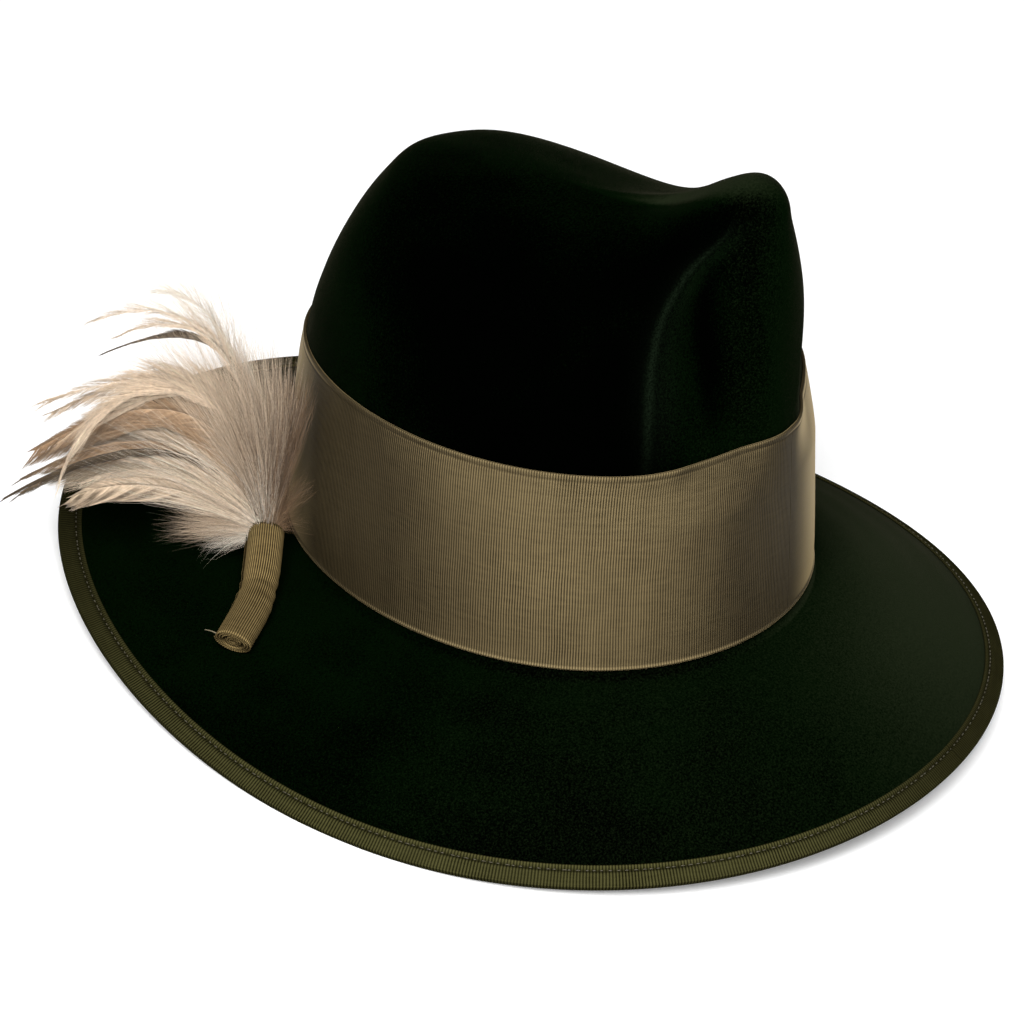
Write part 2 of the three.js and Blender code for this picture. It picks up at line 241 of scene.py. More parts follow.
@dataclass(frozen=True)
class HatForm:
    """The hat's sizes in metres and degrees, and the surfaces worked out from them."""

    crown_length: float = 201.8 * MM
    crown_width: float = 167.8 * MM
    crown_height: float = 152.0 * MM
    felt_wall: float = 2.2 * MM
    break_radius: float = 4.0 * MM
    fillet_angle: float = 68.0
    knob_rise: float = 16.0 * MM
    knob_length: float = 44.0 * MM
    knob_width: float = 80.0 * MM
    knob_reach: float = 78.0 * MM
    ridge_rise: float = 6.0 * MM
    ridge_start: float = 20.0 * MM
    ridge_end: float = 60.0 * MM
    saddle_depth: float = 8.0 * MM
    saddle_length: float = 85.0 * MM
    saddle_reach: float = 28.0 * MM
    lift_start: float = 0.7
    lift_full: float = 0.97
    top_dome: float = 1.35 * MM
    pinch_depth: float = 13.0 * MM
    pinch_foot: float = 0.36
    pinch_top: float = 1.04
    pinch_fade: float = 0.87
    crease_round: float = 2.2
    fold_rise: float = 0.9 * MM
    fold_line: Streak = Streak(100.0 * MM, 30.0 * MM, -72.0, 17.0, 13.0, 0.4, (0.15, 0.8))
    brim_front: float = 73.5 * MM
    brim_side: float = 78.5 * MM
    brim_back: float = 87.0 * MM
    drop_front: float = 39.3 * MM
    drop_side: float = 35.7 * MM
    drop_back: float = 3.0 * MM
    brim_curve: float = 0.4
    band_height: float = 76.0 * MM
    band_lift: float = 0.6 * MM
    ribbon: float = 0.9 * MM
    binding_width: float = 8.5 * MM
    seat_gap: float = 0.3 * MM
    rest_lean: float = 5.1
    pressed_depth: float = 1.2 * MM
    front_fineness: float = 0.35
    rest_turns: int = 64
    halvings: int = 30
    small_step: float = 1e-3
    facing_up: float = 0.6

    def turns(self, count: int) -> Array:
        """Turns round the hat, with a finer step over the front: u - f sin(u)."""
        even = np.arange(count) * (2.0 * np.pi / count)
        return even - self.front_fineness * np.sin(even)

    @staticmethod
    def oval(turn: Array, reach: Array, side: Array, breadth: Array) -> Array:
        """A level egg shape: x = side sin t (1 + breadth cos t), y = -reach cos t, z = 0."""
        sine, cosine = np.sin(turn), np.cos(turn)
        return np.stack([side * sine * (1.0 + breadth * cosine), -reach * cosine, 0.0 * sine], -1)

    def foot(self, turn: Array) -> Array:
        """The foot of the crown, at z = 0."""
        breadth = CROWN_ROWS[0].breadth
        return self.oval(turn, self.crown_length / 2, self.crown_width / 2, breadth)

    def outward(self, turn: Array) -> Array:
        """The level direction out of the foot of the crown, square to it.

        Args:
            turn: Turns round the crown, in radians.

        Returns:
            Vectors of length 1.
        """
        step = 0.01
        way = self.foot(turn + step) - self.foot(turn - step)
        return unit(np.stack([way[..., 1], -way[..., 0], 0.0 * way[..., 0]], -1))

    @staticmethod
    def around(turn: Array, front: float, side: float, back: float) -> Array:
        """One value from three that hold at the front, sides and back: m + a cos t + b cos 2t.

        Args:
            turn: Turns round the crown, in radians.
            front: Value at the front.
            side: Value at both sides.
            back: Value at the back.

        Returns:
            The value at each turn.
        """
        mean = (front + back + 2.0 * side) / 4.0
        saddle = (front + back - 2.0 * side) / 4.0
        return mean + (front - back) / 2.0 * np.cos(turn) + saddle * np.cos(2.0 * turn)

    def lift(self, x: Array, y: Array) -> Array:
        """Height that the knob, the ridge and the saddle add to the top of the crown: two humps
        and a smooth step.

        Args:
            x: Metres to the wearer's left.
            y: Metres back from the middle.

        Returns:
            Metres.
        """
        knob = hump(y + self.knob_reach, self.knob_length) * hump(x, self.knob_width)
        ridge = smooth(self.ridge_start, -self.ridge_end, y)
        saddle = hump(y + self.saddle_reach, self.saddle_length)
        return self.knob_rise * knob + self.ridge_rise * ridge - self.saddle_depth * saddle

    def pinch(self, turn: Array, rise: Array) -> Array:
        """How far the pinches push the crown in: a quarter sine from the crease, which is a
        little rounded, to the deepest line, then a smooth rise to the border.

        Args:
            turn: Turn from the front, in radians.
            rise: Height as a share of the crown's height.

        Returns:
            Depth in metres.
        """
        place = (rise - self.pinch_foot) / (self.pinch_top - self.pinch_foot)
        angle = np.abs(signed_degrees(turn))
        crease = column(PINCH_ROWS, "crease", place)
        valley = column(PINCH_ROWS, "valley", place)
        border = column(PINCH_ROWS, "border", place)
        inward = crease - angle
        soft = (np.sqrt(inward**2 + self.crease_round**2) + inward) / 2.0
        fall = np.sin(np.clip(soft / (crease - valley), 0.0, 1.0) * np.pi / 2.0)
        rest = smooth(border, valley, angle)
        depth = self.pinch_depth * column(PINCH_ROWS, "depth", place)
        return np.where((place > 0.0) & (place < 1.0), depth * fall * rest, 0.0)

    @staticmethod
    def off_crease(turn: Array, place: Array) -> Array:
        """Degrees from a turn to the pinch's crease."""
        return column(PINCH_ROWS, "crease", place) - np.abs(signed_degrees(turn))

    def fold(self, turn: Array, height: Array) -> Array:
        """A soft fold down the wearer's right side of the crown, slanting back as it falls."""
        return self.fold_rise * self.fold_line.at(turn, height)

    def crown(self, turn: Array, place: Array) -> Array:
        """Outer face of the crown, place from 0 at the foot to 1 at the edge of the top.

        Args:
            turn: Turn from the front, in radians.
            place: Place in the table of sections.

        Returns:
            Points in the hat's own frame.
        """
        turn, place = np.broadcast_arrays(turn, place)
        front = column(CROWN_ROWS, "front", place)
        back = column(CROWN_ROWS, "back", place)
        reach = np.where(np.cos(turn) > 0.0, front, back) * self.crown_length / 2
        side = column(CROWN_ROWS, "side", place) * self.crown_width / 2
        point = self.oval(turn, reach, side, column(CROWN_ROWS, "breadth", place))
        rise = column(CROWN_ROWS, "rise", place)
        lift = self.lift(point[..., 0], point[..., 1])
        point[..., 2] = rise * self.crown_height + lift * smooth(self.lift_start, self.lift_full, rise)
        held = smooth(1.0, self.pinch_fade, place)
        push = self.fold(turn, point[..., 2]) - self.pinch(turn, point[..., 2] / self.crown_height) * held
        return point + self.outward(turn) * push[..., None]

    def top(self, turn: Array, share: Array) -> Array:
        """The top of the crown: the last section made smaller, and a dome of 1 - share^2.

        Args:
            turn: Turn from the front, in radians.
            share: From 0 at the middle to 1 at the edge.

        Returns:
            Points in the hat's own frame.
        """
        turn, share = np.broadcast_arrays(turn, share)
        row = CROWN_ROWS[-1]
        reach = np.where(np.cos(turn) > 0.0, row.front, row.back) * self.crown_length / 2 * share
        point = self.oval(turn, reach, row.side * self.crown_width / 2 * share, row.breadth)
        dome = self.top_dome * (1.0 - share**2)
        point[..., 2] = self.crown_height + self.lift(point[..., 0], point[..., 1]) + dome
        return point

    def fillet(self, turn: Array, place: Array) -> Array:
        """Outer face of the round where crown turns into brim, an arc of a circle.

        Args:
            turn: Turn from the front, in radians.
            place: From 0 at the crown to 1 at the brim.

        Returns:
            Points in the hat's own frame.
        """
        turn, place = np.broadcast_arrays(turn, place)
        angle = np.radians(place * self.fillet_angle)
        reach = self.break_radius * (1.0 - np.cos(angle))
        point = self.foot(turn) + self.outward(turn) * reach[..., None]
        point[..., 2] = -self.break_radius * np.sin(angle)
        return point

    def brim_width(self, turn: Array) -> Array:
        """Width of the brim from the foot of the crown to the edge of the felt."""
        return self.around(turn, self.brim_front, self.brim_side, self.brim_back)

    def brim(self, turn: Array, share: Array) -> Array:
        """Upper face of the brim: a straight way out whose drop grows as mix(s, s^2, curve).

        Args:
            turn: Turn from the front, in radians.
            share: From 0 at the fillet to 1 at the edge of the felt.

        Returns:
            Points in the hat's own frame.
        """
        turn, share = np.broadcast_arrays(turn, share)
        start = self.fillet(turn, np.ones_like(turn))
        rim = self.foot(turn) + self.outward(turn) * self.brim_width(turn)[..., None]
        point = start + (rim - start) * share[..., None]
        drop = self.around(turn, self.drop_front, self.drop_side, self.drop_back)
        fall = share + (share * share - share) * self.brim_curve
        point[..., 2] = start[..., 2] * (1.0 - share) - drop * fall
        return point

    def inset(self, turn: Array, distance: float) -> Array:
        """Share of the brim at a distance in from its edge."""
        return 1.0 - distance / self.brim_width(turn)

    def place_at(self, height: float) -> float:
        """Place in the table of sections where the crown stands at a height, by halving.

        Args:
            height: Metres over the foot of the crown.

        Returns:
            The place, from 0 to 1.
        """
        low, high = 0.0, 1.0
        for _ in range(self.halvings):
            middle = (low + high) / 2.0
            below = column(CROWN_ROWS, "rise", np.array(middle)) * self.crown_height < height
            low, high = (middle, high) if below else (low, middle)
        return low

    def normal(self, surface: Surface, turn: Array, share: Array) -> Array:
        """Outward normals of a surface: the cross product of small steps along both parameters.

        Args:
            surface: The surface.
            turn: Turn from the front, in radians.
            share: The surface's other parameter.

        Returns:
            Vectors of length 1.
        """
        step = self.small_step
        along = surface(turn, share + step) - surface(turn, share - step)
        way = surface(turn + step, share) - surface(turn - step, share)
        away = unit(np.cross(along, way))
        outside = self.outward(turn) + np.array([0.0, 0.0, self.facing_up])
        facing = (away * outside).sum(-1, keepdims=True)
        return np.where(facing < 0.0, -away, away)

    def raised(self, surface: Surface, turn: Array, share: Array, distance: Array) -> Array:
        """Points off a surface, by a distance in metres along its outward normals."""
        turn, share, distance = np.broadcast_arrays(turn, share, distance)
        return surface(turn, share) + self.normal(surface, turn, share) * distance[..., None]

    def turned(self, vectors: Array) -> Array:
        """Vectors of the hat's own frame, turned to the way it rests, leaning back about x.

        Args:
            vectors: Points or directions in the hat's own frame.

        Returns:
            The same, leaning back.
        """
        lean = math.radians(self.rest_lean)
        x, y, z = vectors[..., 0], vectors[..., 1], vectors[..., 2]
        level = y * math.cos(lean) + z * math.sin(lean)
        return np.stack([x, level, z * math.cos(lean) - y * math.sin(lean)], -1)

    def rest_shift(self) -> Array:
        """How far the turned hat moves so that it rests where its packed binding is.

        Returns:
            The move, in metres.
        """
        turn = self.turns(self.rest_turns)
        depth = self.felt_wall + self.seat_gap + self.ribbon
        under = self.turned(self.raised(self.brim, turn, np.ones_like(turn), -depth))
        nose = 1.0 + (self.seat_gap + self.ribbon) / self.brim_side
        rim = [self.raised(self.brim, turn, nose, d) for d in (0.0, -self.felt_wall)]
        reach = self.turned(np.concatenate(rim))[:, 1]
        low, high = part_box("brim_binding")
        middle = (low.y + high.y - reach.min() - reach.max()) / 2.0
        return np.array([0.0, middle, -(under[:, 2].min() + self.pressed_depth)])

    def rested(self, points: Array, clearance: float = 0.0) -> Array:
        """Points moved to where the hat rests, and kept a clearance above the floor.

        Args:
            points: Points in the hat's own frame.
            clearance: Least height above the floor.

        Returns:
            Points in the row's frame.
        """
        placed = self.turned(points) + self.rest_shift()
        placed[..., 2] = np.maximum(placed[..., 2], clearance)
        return placed


class PieceMesh:
    """Points, faces, corner coordinates and point values of one piece, gathered as arrays."""

    def __init__(self) -> None:
        """Starts an empty piece."""
        self.points: list[Array] = []
        self.faces: Faces = []
        self.values: dict[str, list[Array]] = {}
        self.count = 0

    def add(self, points: Array, faces: Faces, **values: Array) -> None:
        """Adds a body.

        Args:
            points: Its points, one to a row.
            faces: Pairs of corner indices, one face to a row, and their u and v or None.
            values: Named values, one to a point.
        """
        self.points.append(points.reshape(-1, 3))
        for corners, places in faces:
            flat = np.zeros(corners.shape + (2,)) if places is None else places
            self.faces.append((corners + self.count, flat))
        for name, value in values.items():
            self.values.setdefault(name, []).append(value)
        self.count += len(self.points[-1])

    def build(
        self, name: str, material: bpy.types.Material, slot: str, nodes: tuple[str, ...] = ()
    ) -> bpy.types.Object:
        """Makes the object, dresses it, hangs it under the root and hides the part's nodes.

        Args:
            name: The piece's name.
            material: Its finish.
            slot: Not used.
            nodes: Nodes of the part that it stands for.

        Returns:
            The finished object, at the origin.
        """
        points = np.concatenate(self.points)
        sizes = np.concatenate([np.full(len(c), c.shape[1]) for c, _ in self.faces])
        corners = np.concatenate([c.ravel() for c, _ in self.faces])
        places = np.concatenate([p.reshape(-1, 2) for _, p in self.faces])
        starts = np.concatenate([[0], np.cumsum(sizes)[:-1]])
        mesh = bpy.data.meshes.new(name)
        mesh.vertices.add(len(points))
        mesh.vertices.foreach_set("co", points.astype(np.float32).ravel())
        mesh.loops.add(len(corners))
        mesh.loops.foreach_set("vertex_index", corners.astype(np.int32))
        mesh.polygons.add(len(sizes))
        mesh.polygons.foreach_set("loop_start", starts.astype(np.int32))
        layer = mesh.uv_layers.new(name="UVMap")
        layer.uv.foreach_set("vector", places.astype(np.float32).ravel())
        for label, parts in self.values.items():
            value = np.concatenate(parts).astype(np.float32)
            if value.ndim == 1:
                carried = mesh.attributes.new(label, "FLOAT", "POINT")
                carried.data.foreach_set("value", value)
            else:
                carried = mesh.attributes.new(label, "FLOAT_COLOR", "POINT")
                solid = np.concatenate([value, np.ones((len(value), 1), np.float32)], 1)
                carried.data.foreach_set("color", solid.ravel())
        mesh.update(calc_edges=True)
        mesh.validate()
        mesh.shade_smooth()
        mesh.materials.append(material)
        piece = bpy.data.objects.new(name, mesh)
        bpy.context.scene.collection.objects.link(piece)
        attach(piece, "root")
        if nodes:
            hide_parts(*nodes)
        triangles = int((sizes - 2).sum())
        log.info("%s: %d points, %d triangles", name, len(points), triangles)
        return piece


def volume_sign(points: Array, faces: Faces) -> float:
    """Sum of the signed volumes under each face: above 0 where a closed body faces outwards.

    Args:
        points: The body's points.
        faces: Its faces.

    Returns:
        Six times the volume, with its sign.
    """
    total = 0.0
    centred = points - points.mean(0)
    for corners, _ in faces:
        first = centred[corners[:, 0]]
        for k in range(1, corners.shape[1] - 1):
            pair = np.cross(centred[corners[:, k]], centred[corners[:, k + 1]])
            total += float((first * pair).sum())
    return total


def facing_out(points: Array, faces: Faces) -> Faces:
    """The same faces, turned round if the closed body that they make is inside out.

    Args:
        points: The corners.
        faces: The faces of one closed body.

    Returns:
        The faces, all of them facing out.
    """
    if volume_sign(points, faces) > 0.0:
        return faces
    return [(c[:, ::-1], None if p is None else p[:, ::-1]) for c, p in faces]


def grid_faces(rows: int, cols: int, closed: tuple[bool, bool], places: Array | None = None) -> Faces:
    """Four-cornered faces of a grid of points.

    Args:
        rows: Rows of the grid.
        cols: Points in a row.
        closed: Whether the last row joins the first, and the last point of a row its first.
        places: u and v at each grid line, with one line more along a closed way.

    Returns:
        A list with one pair of corners and places.
    """
    row, col = np.meshgrid(
        np.arange(rows if closed[0] else rows - 1),
        np.arange(cols if closed[1] else cols - 1),
        indexing="ij",
    )
    row, col = row.ravel(), col.ravel()
    around = ((row, col), (row + 1, col), (row + 1, col + 1), (row, col + 1))
    corners = np.stack([(r % rows) * cols + c % cols for r, c in around], 1)
    if places is None:
        return [(corners, None)]
    return [(corners, np.stack([places[r, c] for r, c in around], 1))]


def fan_faces(centre: int, ring: Array, flip: bool) -> tuple[Array, None]:
    """Triangles that close a ring of points to a centre.

    Args:
        centre: Index of the centre.
        ring: Indices of the ring.
        flip: Whether they go round the other way.

    Returns:
        Corner indices, and no u and v.
    """
    nxt = np.roll(ring, -1)
    pair = (nxt, ring) if flip else (ring, nxt)
    return np.stack([np.full(len(ring), centre), *pair], 1), None


def frame_along(path: Array, side: Array) -> tuple[Array, Array]:
    """Across and up directions along a path, square to it.

    Args:
        path: Points along the path, the last axis but one.
        side: A direction that across is square to.

    Returns:
        The across and up directions at each point.
    """
    along = unit(np.gradient(path, axis=-2))
    across = unit(np.cross(side, along))
    return across, unit(np.cross(along, across))


class Socket:
    """A number, colour or vector inside a material, with the usual operators."""

    def __init__(self, finish: "Nodes", link: object) -> None:
        """Wraps an output socket, or a plain number."""
        self.finish = finish
        self.link = link

    def maths(self, operation: str, other: object = None, flip: bool = False) -> "Socket":
        """A Math node of this socket and another value.

        Args:
            operation: The Math node's operation.
            other: The second value, if it has one.
            flip: Whether the other value comes first.

        Returns:
            The result.
        """
        pair = [self, other] if other is not None else [self]
        ordered = pair[::-1] if flip else pair
        inputs = dict(enumerate(ordered))
        return self.finish.node("ShaderNodeMath", {"operation": operation}, inputs)

    def __add__(self, other: object) -> "Socket":
        """Sum."""
        return self.maths("ADD", other)

    __radd__ = __add__

    def __mul__(self, other: object) -> "Socket":
        """Product."""
        return self.maths("MULTIPLY", other)

    __rmul__ = __mul__

    def __sub__(self, other: object) -> "Socket":
        """Difference."""
        return self.maths("SUBTRACT", other)

    def __rsub__(self, other: object) -> "Socket":
        """Difference from another value."""
        return self.maths("SUBTRACT", other, flip=True)

    def __truediv__(self, other: object) -> "Socket":
        """Quotient."""
        return self.maths("DIVIDE", other)

    def cosine(self) -> "Socket":
        """Cosine of the value in radians."""
        return self.maths("COSINE")

    def step(self, low: float, high: float) -> "Socket":
        """A smooth step from 0 at low to 1 at high.

        Args:
            low: Value where the step starts.
            high: Value where it ends; it may be lower than low.

        Returns:
            The step, from 0 to 1.
        """
        settings = {"interpolation_type": "SMOOTHSTEP"}
        places = {0: self, 1: low, 2: high, 3: 0.0, 4: 1.0}
        if low > high:
            places = {0: self, 1: high, 2: low, 3: 1.0, 4: 0.0}
        return self.finish.node("ShaderNodeMapRange", settings, places)


def dimmed(colour: Colour, share: float) -> Colour:
    """A colour times a number."""
    return tuple(part * share for part in colour)


class Nodes:
    """The node tree of one material."""

    def __init__(self, name: str) -> None:
        """Starts a material with nothing but its output.

        Args:
            name: The material's name.
        """
        self.material = bpy.data.materials.new(name)
        self.material.use_nodes = True
        self.tree = self.material.node_tree
        self.tree.nodes.clear()
        self.output = self.tree.nodes.new("ShaderNodeOutputMaterial")

    def node(self, kind: str, settings: dict, inputs: dict, output: int | str = 0) -> Socket:
        """Adds a node, sets it and links or fills its sockets.

        Args:
            kind: The node's type.
            settings: Its settings, which are set first.
            inputs: Values or sockets by name or number.
            output: Which of its outputs is wanted.

        Returns:
            That output.
        """
        node = self.tree.nodes.new(kind)
        for name, value in settings.items():
            setattr(node, name, value)
        for key, value in inputs.items():
            if isinstance(value, Socket):
                self.tree.links.new(value.link, node.inputs[key])
            else:
                node.inputs[key].default_value = value
        return Socket(self, node.outputs[output])

    def place(self, name: str = "Object") -> Socket:
        """The piece's own coordinates, Object or UV."""
        return self.node("ShaderNodeTexCoord", {}, {}, name)

    def split(self, vector: Socket) -> list[Socket]:
        """The three numbers of a vector.

        Args:
            vector: The vector.

        Returns:
            Its x, y and z.
        """
        parts = self.node("ShaderNodeSeparateXYZ", {}, {0: vector})
        outputs = parts.link.node.outputs
        return [Socket(self, outputs[index]) for index in range(3)]

    def join(self, x: object, y: object, z: object = 0.0) -> Socket:
        """A vector from three numbers."""
        return self.node("ShaderNodeCombineXYZ", {}, {0: x, 1: y, 2: z})

    def noise(self, where: Socket, scale: float, detail: float = 2.0, rough: float = 0.5) -> Socket:
        """A noise value from 0 to 1."""
        inputs = {"Vector": where, "Scale": scale, "Detail": detail, "Roughness": rough}
        return self.node("ShaderNodeTexNoise", {}, inputs, "Fac")

    def value(self, name: str, output: str = "Fac") -> Socket:
        """A named value that the mesh carries."""
        return self.node("ShaderNodeAttribute", {"attribute_name": name}, {}, output)

    def mix(self, share: object, low: object, high: object, blend: str = "MIX") -> Socket:
        """A colour between two.

        Args:
            share: Share of the way from low to high.
            low: The first colour.
            high: The second.
            blend: The Mix node's blend type.

        Returns:
            The mixed colour.
        """
        settings = {"data_type": "RGBA", "blend_type": blend, "clamp_factor": True}
        pair = [c if isinstance(c, Socket) else (*c, 1.0) for c in (low, high)]
        return self.node("ShaderNodeMix", settings, {0: share, 6: pair[0], 7: pair[1]}, 2)

    def facing(self) -> Socket:
        """How far the surface slants away from the eye: 0 face on, 1 at its outline."""
        return self.node("ShaderNodeLayerWeight", {}, {0: 0.5}, "Facing")

    def wave(self, turns: Socket) -> Socket:
        """A cosine of an angle in radians, moved to run from 0 to 1."""
        return turns.cosine() * 0.5 + 0.5

    def bump(self, height: Socket, distance: float, strength: float = 1.0) -> Socket:
        """Normals from a height, with its full size given in metres."""
        inputs = {"Height": height, "Distance": distance, "Strength": strength}
        return self.node("ShaderNodeBump", {}, inputs)

    def finish(self, inputs: dict) -> bpy.types.Material:
        """Ends the material with one Principled shader.

        Args:
            inputs: Values and sockets for the shader's inputs, by name.

        Returns:
            The material.
        """
        shader = self.node("ShaderNodeBsdfPrincipled", {}, inputs)
        self.tree.links.new(shader.link, self.output.inputs[0])
        return self.material


@dataclass(frozen=True)
class FeltFinish:
    """Velour felt: a short nap, near black with a green cast and cloudy, with painted sheen and shade."""

    deep: Colour = (0.00012, 0.0002, 0.00012)
    # tint: the felt's green cast, shown more where it slants away as painted sheen.
    tint: Colour = (0.0008, 0.0032, 0.0006)
    # edge: a painted rim of sheen where the surface slants most from the eye.
    edge: Colour = (0.013, 0.015, 0.008)
    # painted_highlight: a painted sheen colour where the painted sheen value is high.
    painted_highlight: Colour = (0.0105, 0.0142, 0.0066)
    # The colour of a painted highlight along the crease, with a little worn nap.
    rubbed: Colour = (0.010, 0.018, 0.009)
    sheen: float = 0.015
    sheen_colour: Colour = (0.80, 0.72, 0.52)
    nap_size: float = 0.75 * MM
    cloud_size: float = 30.0 * MM
    nap_height: float = 0.35 * MM
    nap_strength: float = 0.7
    nap_contrast: float = 1.5
    brushed_share: float = 0.6
    cloud_share: float = 0.4
    tint_steps: tuple[float, float] = (0.16, 0.75)
    painted_highlight_steps: tuple[float, float] = (0.42, 1.0)
    painted_rim_sheen_steps: tuple[float, float] = (0.74, 1.0)
    rub_steps: tuple[float, float] = (0.3, 0.7)
    rub_least: float = 0.15
    rough: float = 0.92
    sheen_rough: float = 0.22

    def build(self) -> bpy.types.Material:
        """Near-black nap with painted sheen, more the more it slants away, and painted light and shade.

        Returns:
            The material.
        """
        nodes = Nodes("velour_felt")
        where = nodes.place()
        nap = nodes.noise(where, 1.0 / self.nap_size, 4.0, 0.75)
        clouds = nodes.noise(where, 1.0 / self.cloud_size, 2.0, 0.5)
        slant = nodes.facing()
        # Painted sheen and shade that the mesh carries, by which way the felt faces.
        brushed = nodes.value("brushed")
        grain = (nap - 0.5) * self.nap_contrast
        spread = slant + brushed * self.brushed_share + (clouds - 0.5) * self.cloud_share + grain
        # The green cast shows more as the nap slants away: painted sheen.
        body = nodes.mix(spread.step(*self.tint_steps), self.deep, self.tint)
        # Painted highlight where the painted sheen value is high.
        highlighted = nodes.mix((brushed + grain * 0.5).step(*self.painted_highlight_steps), body, self.painted_highlight)
        # Painted rim sheen where the surface slants most.
        painted_rim_sheen = nodes.mix((slant + grain * 0.3).step(*self.painted_rim_sheen_steps), highlighted, self.edge)
        # Painted highlight along the crease, with a little worn nap.
        rub = nodes.value("rub") * (nap.step(*self.rub_steps) + self.rub_least)
        return nodes.finish(
            {
                "Base Color": nodes.mix(rub, painted_rim_sheen, self.rubbed),
                "Roughness": self.rough,
                "Specular IOR Level": 0.0,
                "Sheen Weight": self.sheen,
                "Sheen Roughness": self.sheen_rough,
                "Sheen Tint": (*self.sheen_colour, 1.0),
                "Normal": nodes.bump(nap, self.nap_height, self.nap_strength),
            }
        )


@dataclass(frozen=True)
class RibbonFinish:
    """Ribbed ribbon: ribs across its width, fine yarn over them, and slow changes of shade.

    The UV map gives metres along the ribbon and metres across it. Each size is that of a noise,
    and each share says how much of it goes into the ribs' depth of colour. The groove colour
    between the ribs is painted shade in the grooves. shaded, groove_shaded, edged and
    painted_rim_light are how bright the ribbon is there, against its light colour: groove_shaded
    is painted shade in the grooves by the cords and the seam, and painted_rim_light a painted rim
    light where the ribbon slants most. fade is how far painted shade darkens it where it slants
    away.
    """

    name: str
    light: Colour
    # groove: the colour between the ribs, dark as painted shade in the grooves.
    groove: Colour
    rib_pitch: float = 1.0 * MM
    rib_height: float = 0.22 * MM
    yarn_pitch: float = 0.34 * MM
    shade_size: float = 40.0 * MM
    waver: float = 0.9 * MM
    gloss: Colour = (0.9, 0.72, 0.42)
    gloss_level: float = 0.08
    rough: float = 0.6
    # fade: how far painted shade darkens the ribbon where it slants away from the eye.
    fade: float = 0.0
    # rim: how strong a painted rim light is where the ribbon slants most.
    rim: float = 0.0
    grain_share: float = 1.0
    lengthwise: bool = False
    slow_size: float = 9.0 * MM
    waver_size: float = 22.0 * MM
    grain_size: float = 0.5 * MM
    streak_size: float = 1.5 * MM
    rib_steps: tuple[float, float] = (0.1, 0.8)
    shade_steps: tuple[float, float] = (0.35, 0.7)
    painted_shade_steps: tuple[float, float] = (0.08, 0.4)
    painted_rim_steps: tuple[float, float] = (0.62, 0.96)
    shaded: float = 0.55
    groove_shaded: float = 0.12
    edged: float = 1.7
    painted_rim_light: float = 2.4
    relief_strength: float = 0.85

    def build(self) -> bpy.types.Material:
        """Ribs as a cosine along the ribbon, wavering a little, with yarn and shade over them.

        Returns:
            The material.
        """
        nodes = Nodes(self.name)
        along, across, _ = nodes.split(nodes.place("UV"))
        if self.lengthwise:
            along, across = across, along
        slow = nodes.noise(nodes.join(along * 1.0, across * 0.35), 1.0 / self.slow_size, 2.0)
        waver = nodes.noise(nodes.join(along, across), 1.0 / self.waver_size, 1.0)
        ribs = (along + waver * self.waver) * (2.0 * math.pi / self.rib_pitch)
        rib = nodes.wave(ribs).step(*self.rib_steps)
        yarn = nodes.wave(across * (2.0 * math.pi / self.yarn_pitch) + ribs * 0.5)
        grain = nodes.noise(nodes.place(), 1.0 / self.grain_size, 2.0, 0.6) * self.grain_share
        shade = nodes.noise(nodes.place(), 1.0 / self.shade_size, 2.0)
        streak = nodes.noise(nodes.join(along * 0.16, across), 1.0 / self.streak_size, 2.0, 0.6)
        woven = rib * 0.8 + yarn * 0.06 + grain * 0.2
        depth = woven + (slow - 0.5) * 0.25 + (streak - 0.5) * 0.45
        # Dark between the ribs as painted shade in the grooves, and in random streaks.
        colour = nodes.mix(depth, self.groove, self.light)
        colour = nodes.mix(shade.step(*self.shade_steps) * 0.3, colour, dimmed(self.light, self.shaded))
        # Painted shade in the grooves beside the cords and along the seam.
        colour = nodes.mix(nodes.value("seam"), colour, dimmed(self.light, self.groove_shaded))
        corded = nodes.value("edge") * (rib * 0.6 + 0.4)
        colour = nodes.mix(corded, colour, dimmed(self.light, self.edged))
        slant = nodes.facing()
        # Painted shade where the ribbon slants away, and a painted rim light where it slants most.
        colour = nodes.mix(slant.step(*self.painted_shade_steps) * self.fade, colour, (0.0, 0.0, 0.0))
        rim = slant.step(*self.painted_rim_steps) * self.rim
        height = rib * 0.7 + yarn * 0.16 + grain * 0.2
        return nodes.finish(
            {
                "Base Color": nodes.mix(rim, colour, dimmed(self.light, self.painted_rim_light)),
                "Roughness": self.rough,
                "Specular IOR Level": self.gloss_level,
                "Specular Tint": (*self.gloss, 1.0),
                "Normal": nodes.bump(height, self.rib_height, self.relief_strength),
            }
        )


@dataclass(frozen=True)
class ThreadFinish:
    """Sewing thread: two plies that wind round it. The UV map runs along and round it."""

    name: str
    colour: Colour
    ply_pitch: float = 0.6 * MM
    ply_height: float = 0.08 * MM
    grain_size: float = 0.7 * MM
    rough: float = 0.6
    sheen: float = 0.1

    def build(self) -> bpy.types.Material:
        """Slanting bands along the thread, and a little noise in the colour.

        Returns:
            The material.
        """
        nodes = Nodes(self.name)
        along, turn, _ = nodes.split(nodes.place("UV"))
        ply = nodes.wave(along * (2.0 * math.pi / self.ply_pitch) + turn * (4.0 * math.pi))
        grain = nodes.noise(nodes.place(), 1.0 / self.grain_size, 2.0)
        colour = nodes.mix(ply * 0.6 + grain * 0.5, dimmed(self.colour, 0.5), self.colour)
        return nodes.finish(
            {
                "Base Color": colour,
                "Roughness": self.rough,
                "Sheen Weight": self.sheen,
                "Normal": nodes.bump(ply, self.ply_height, 0.8),
            }
        )


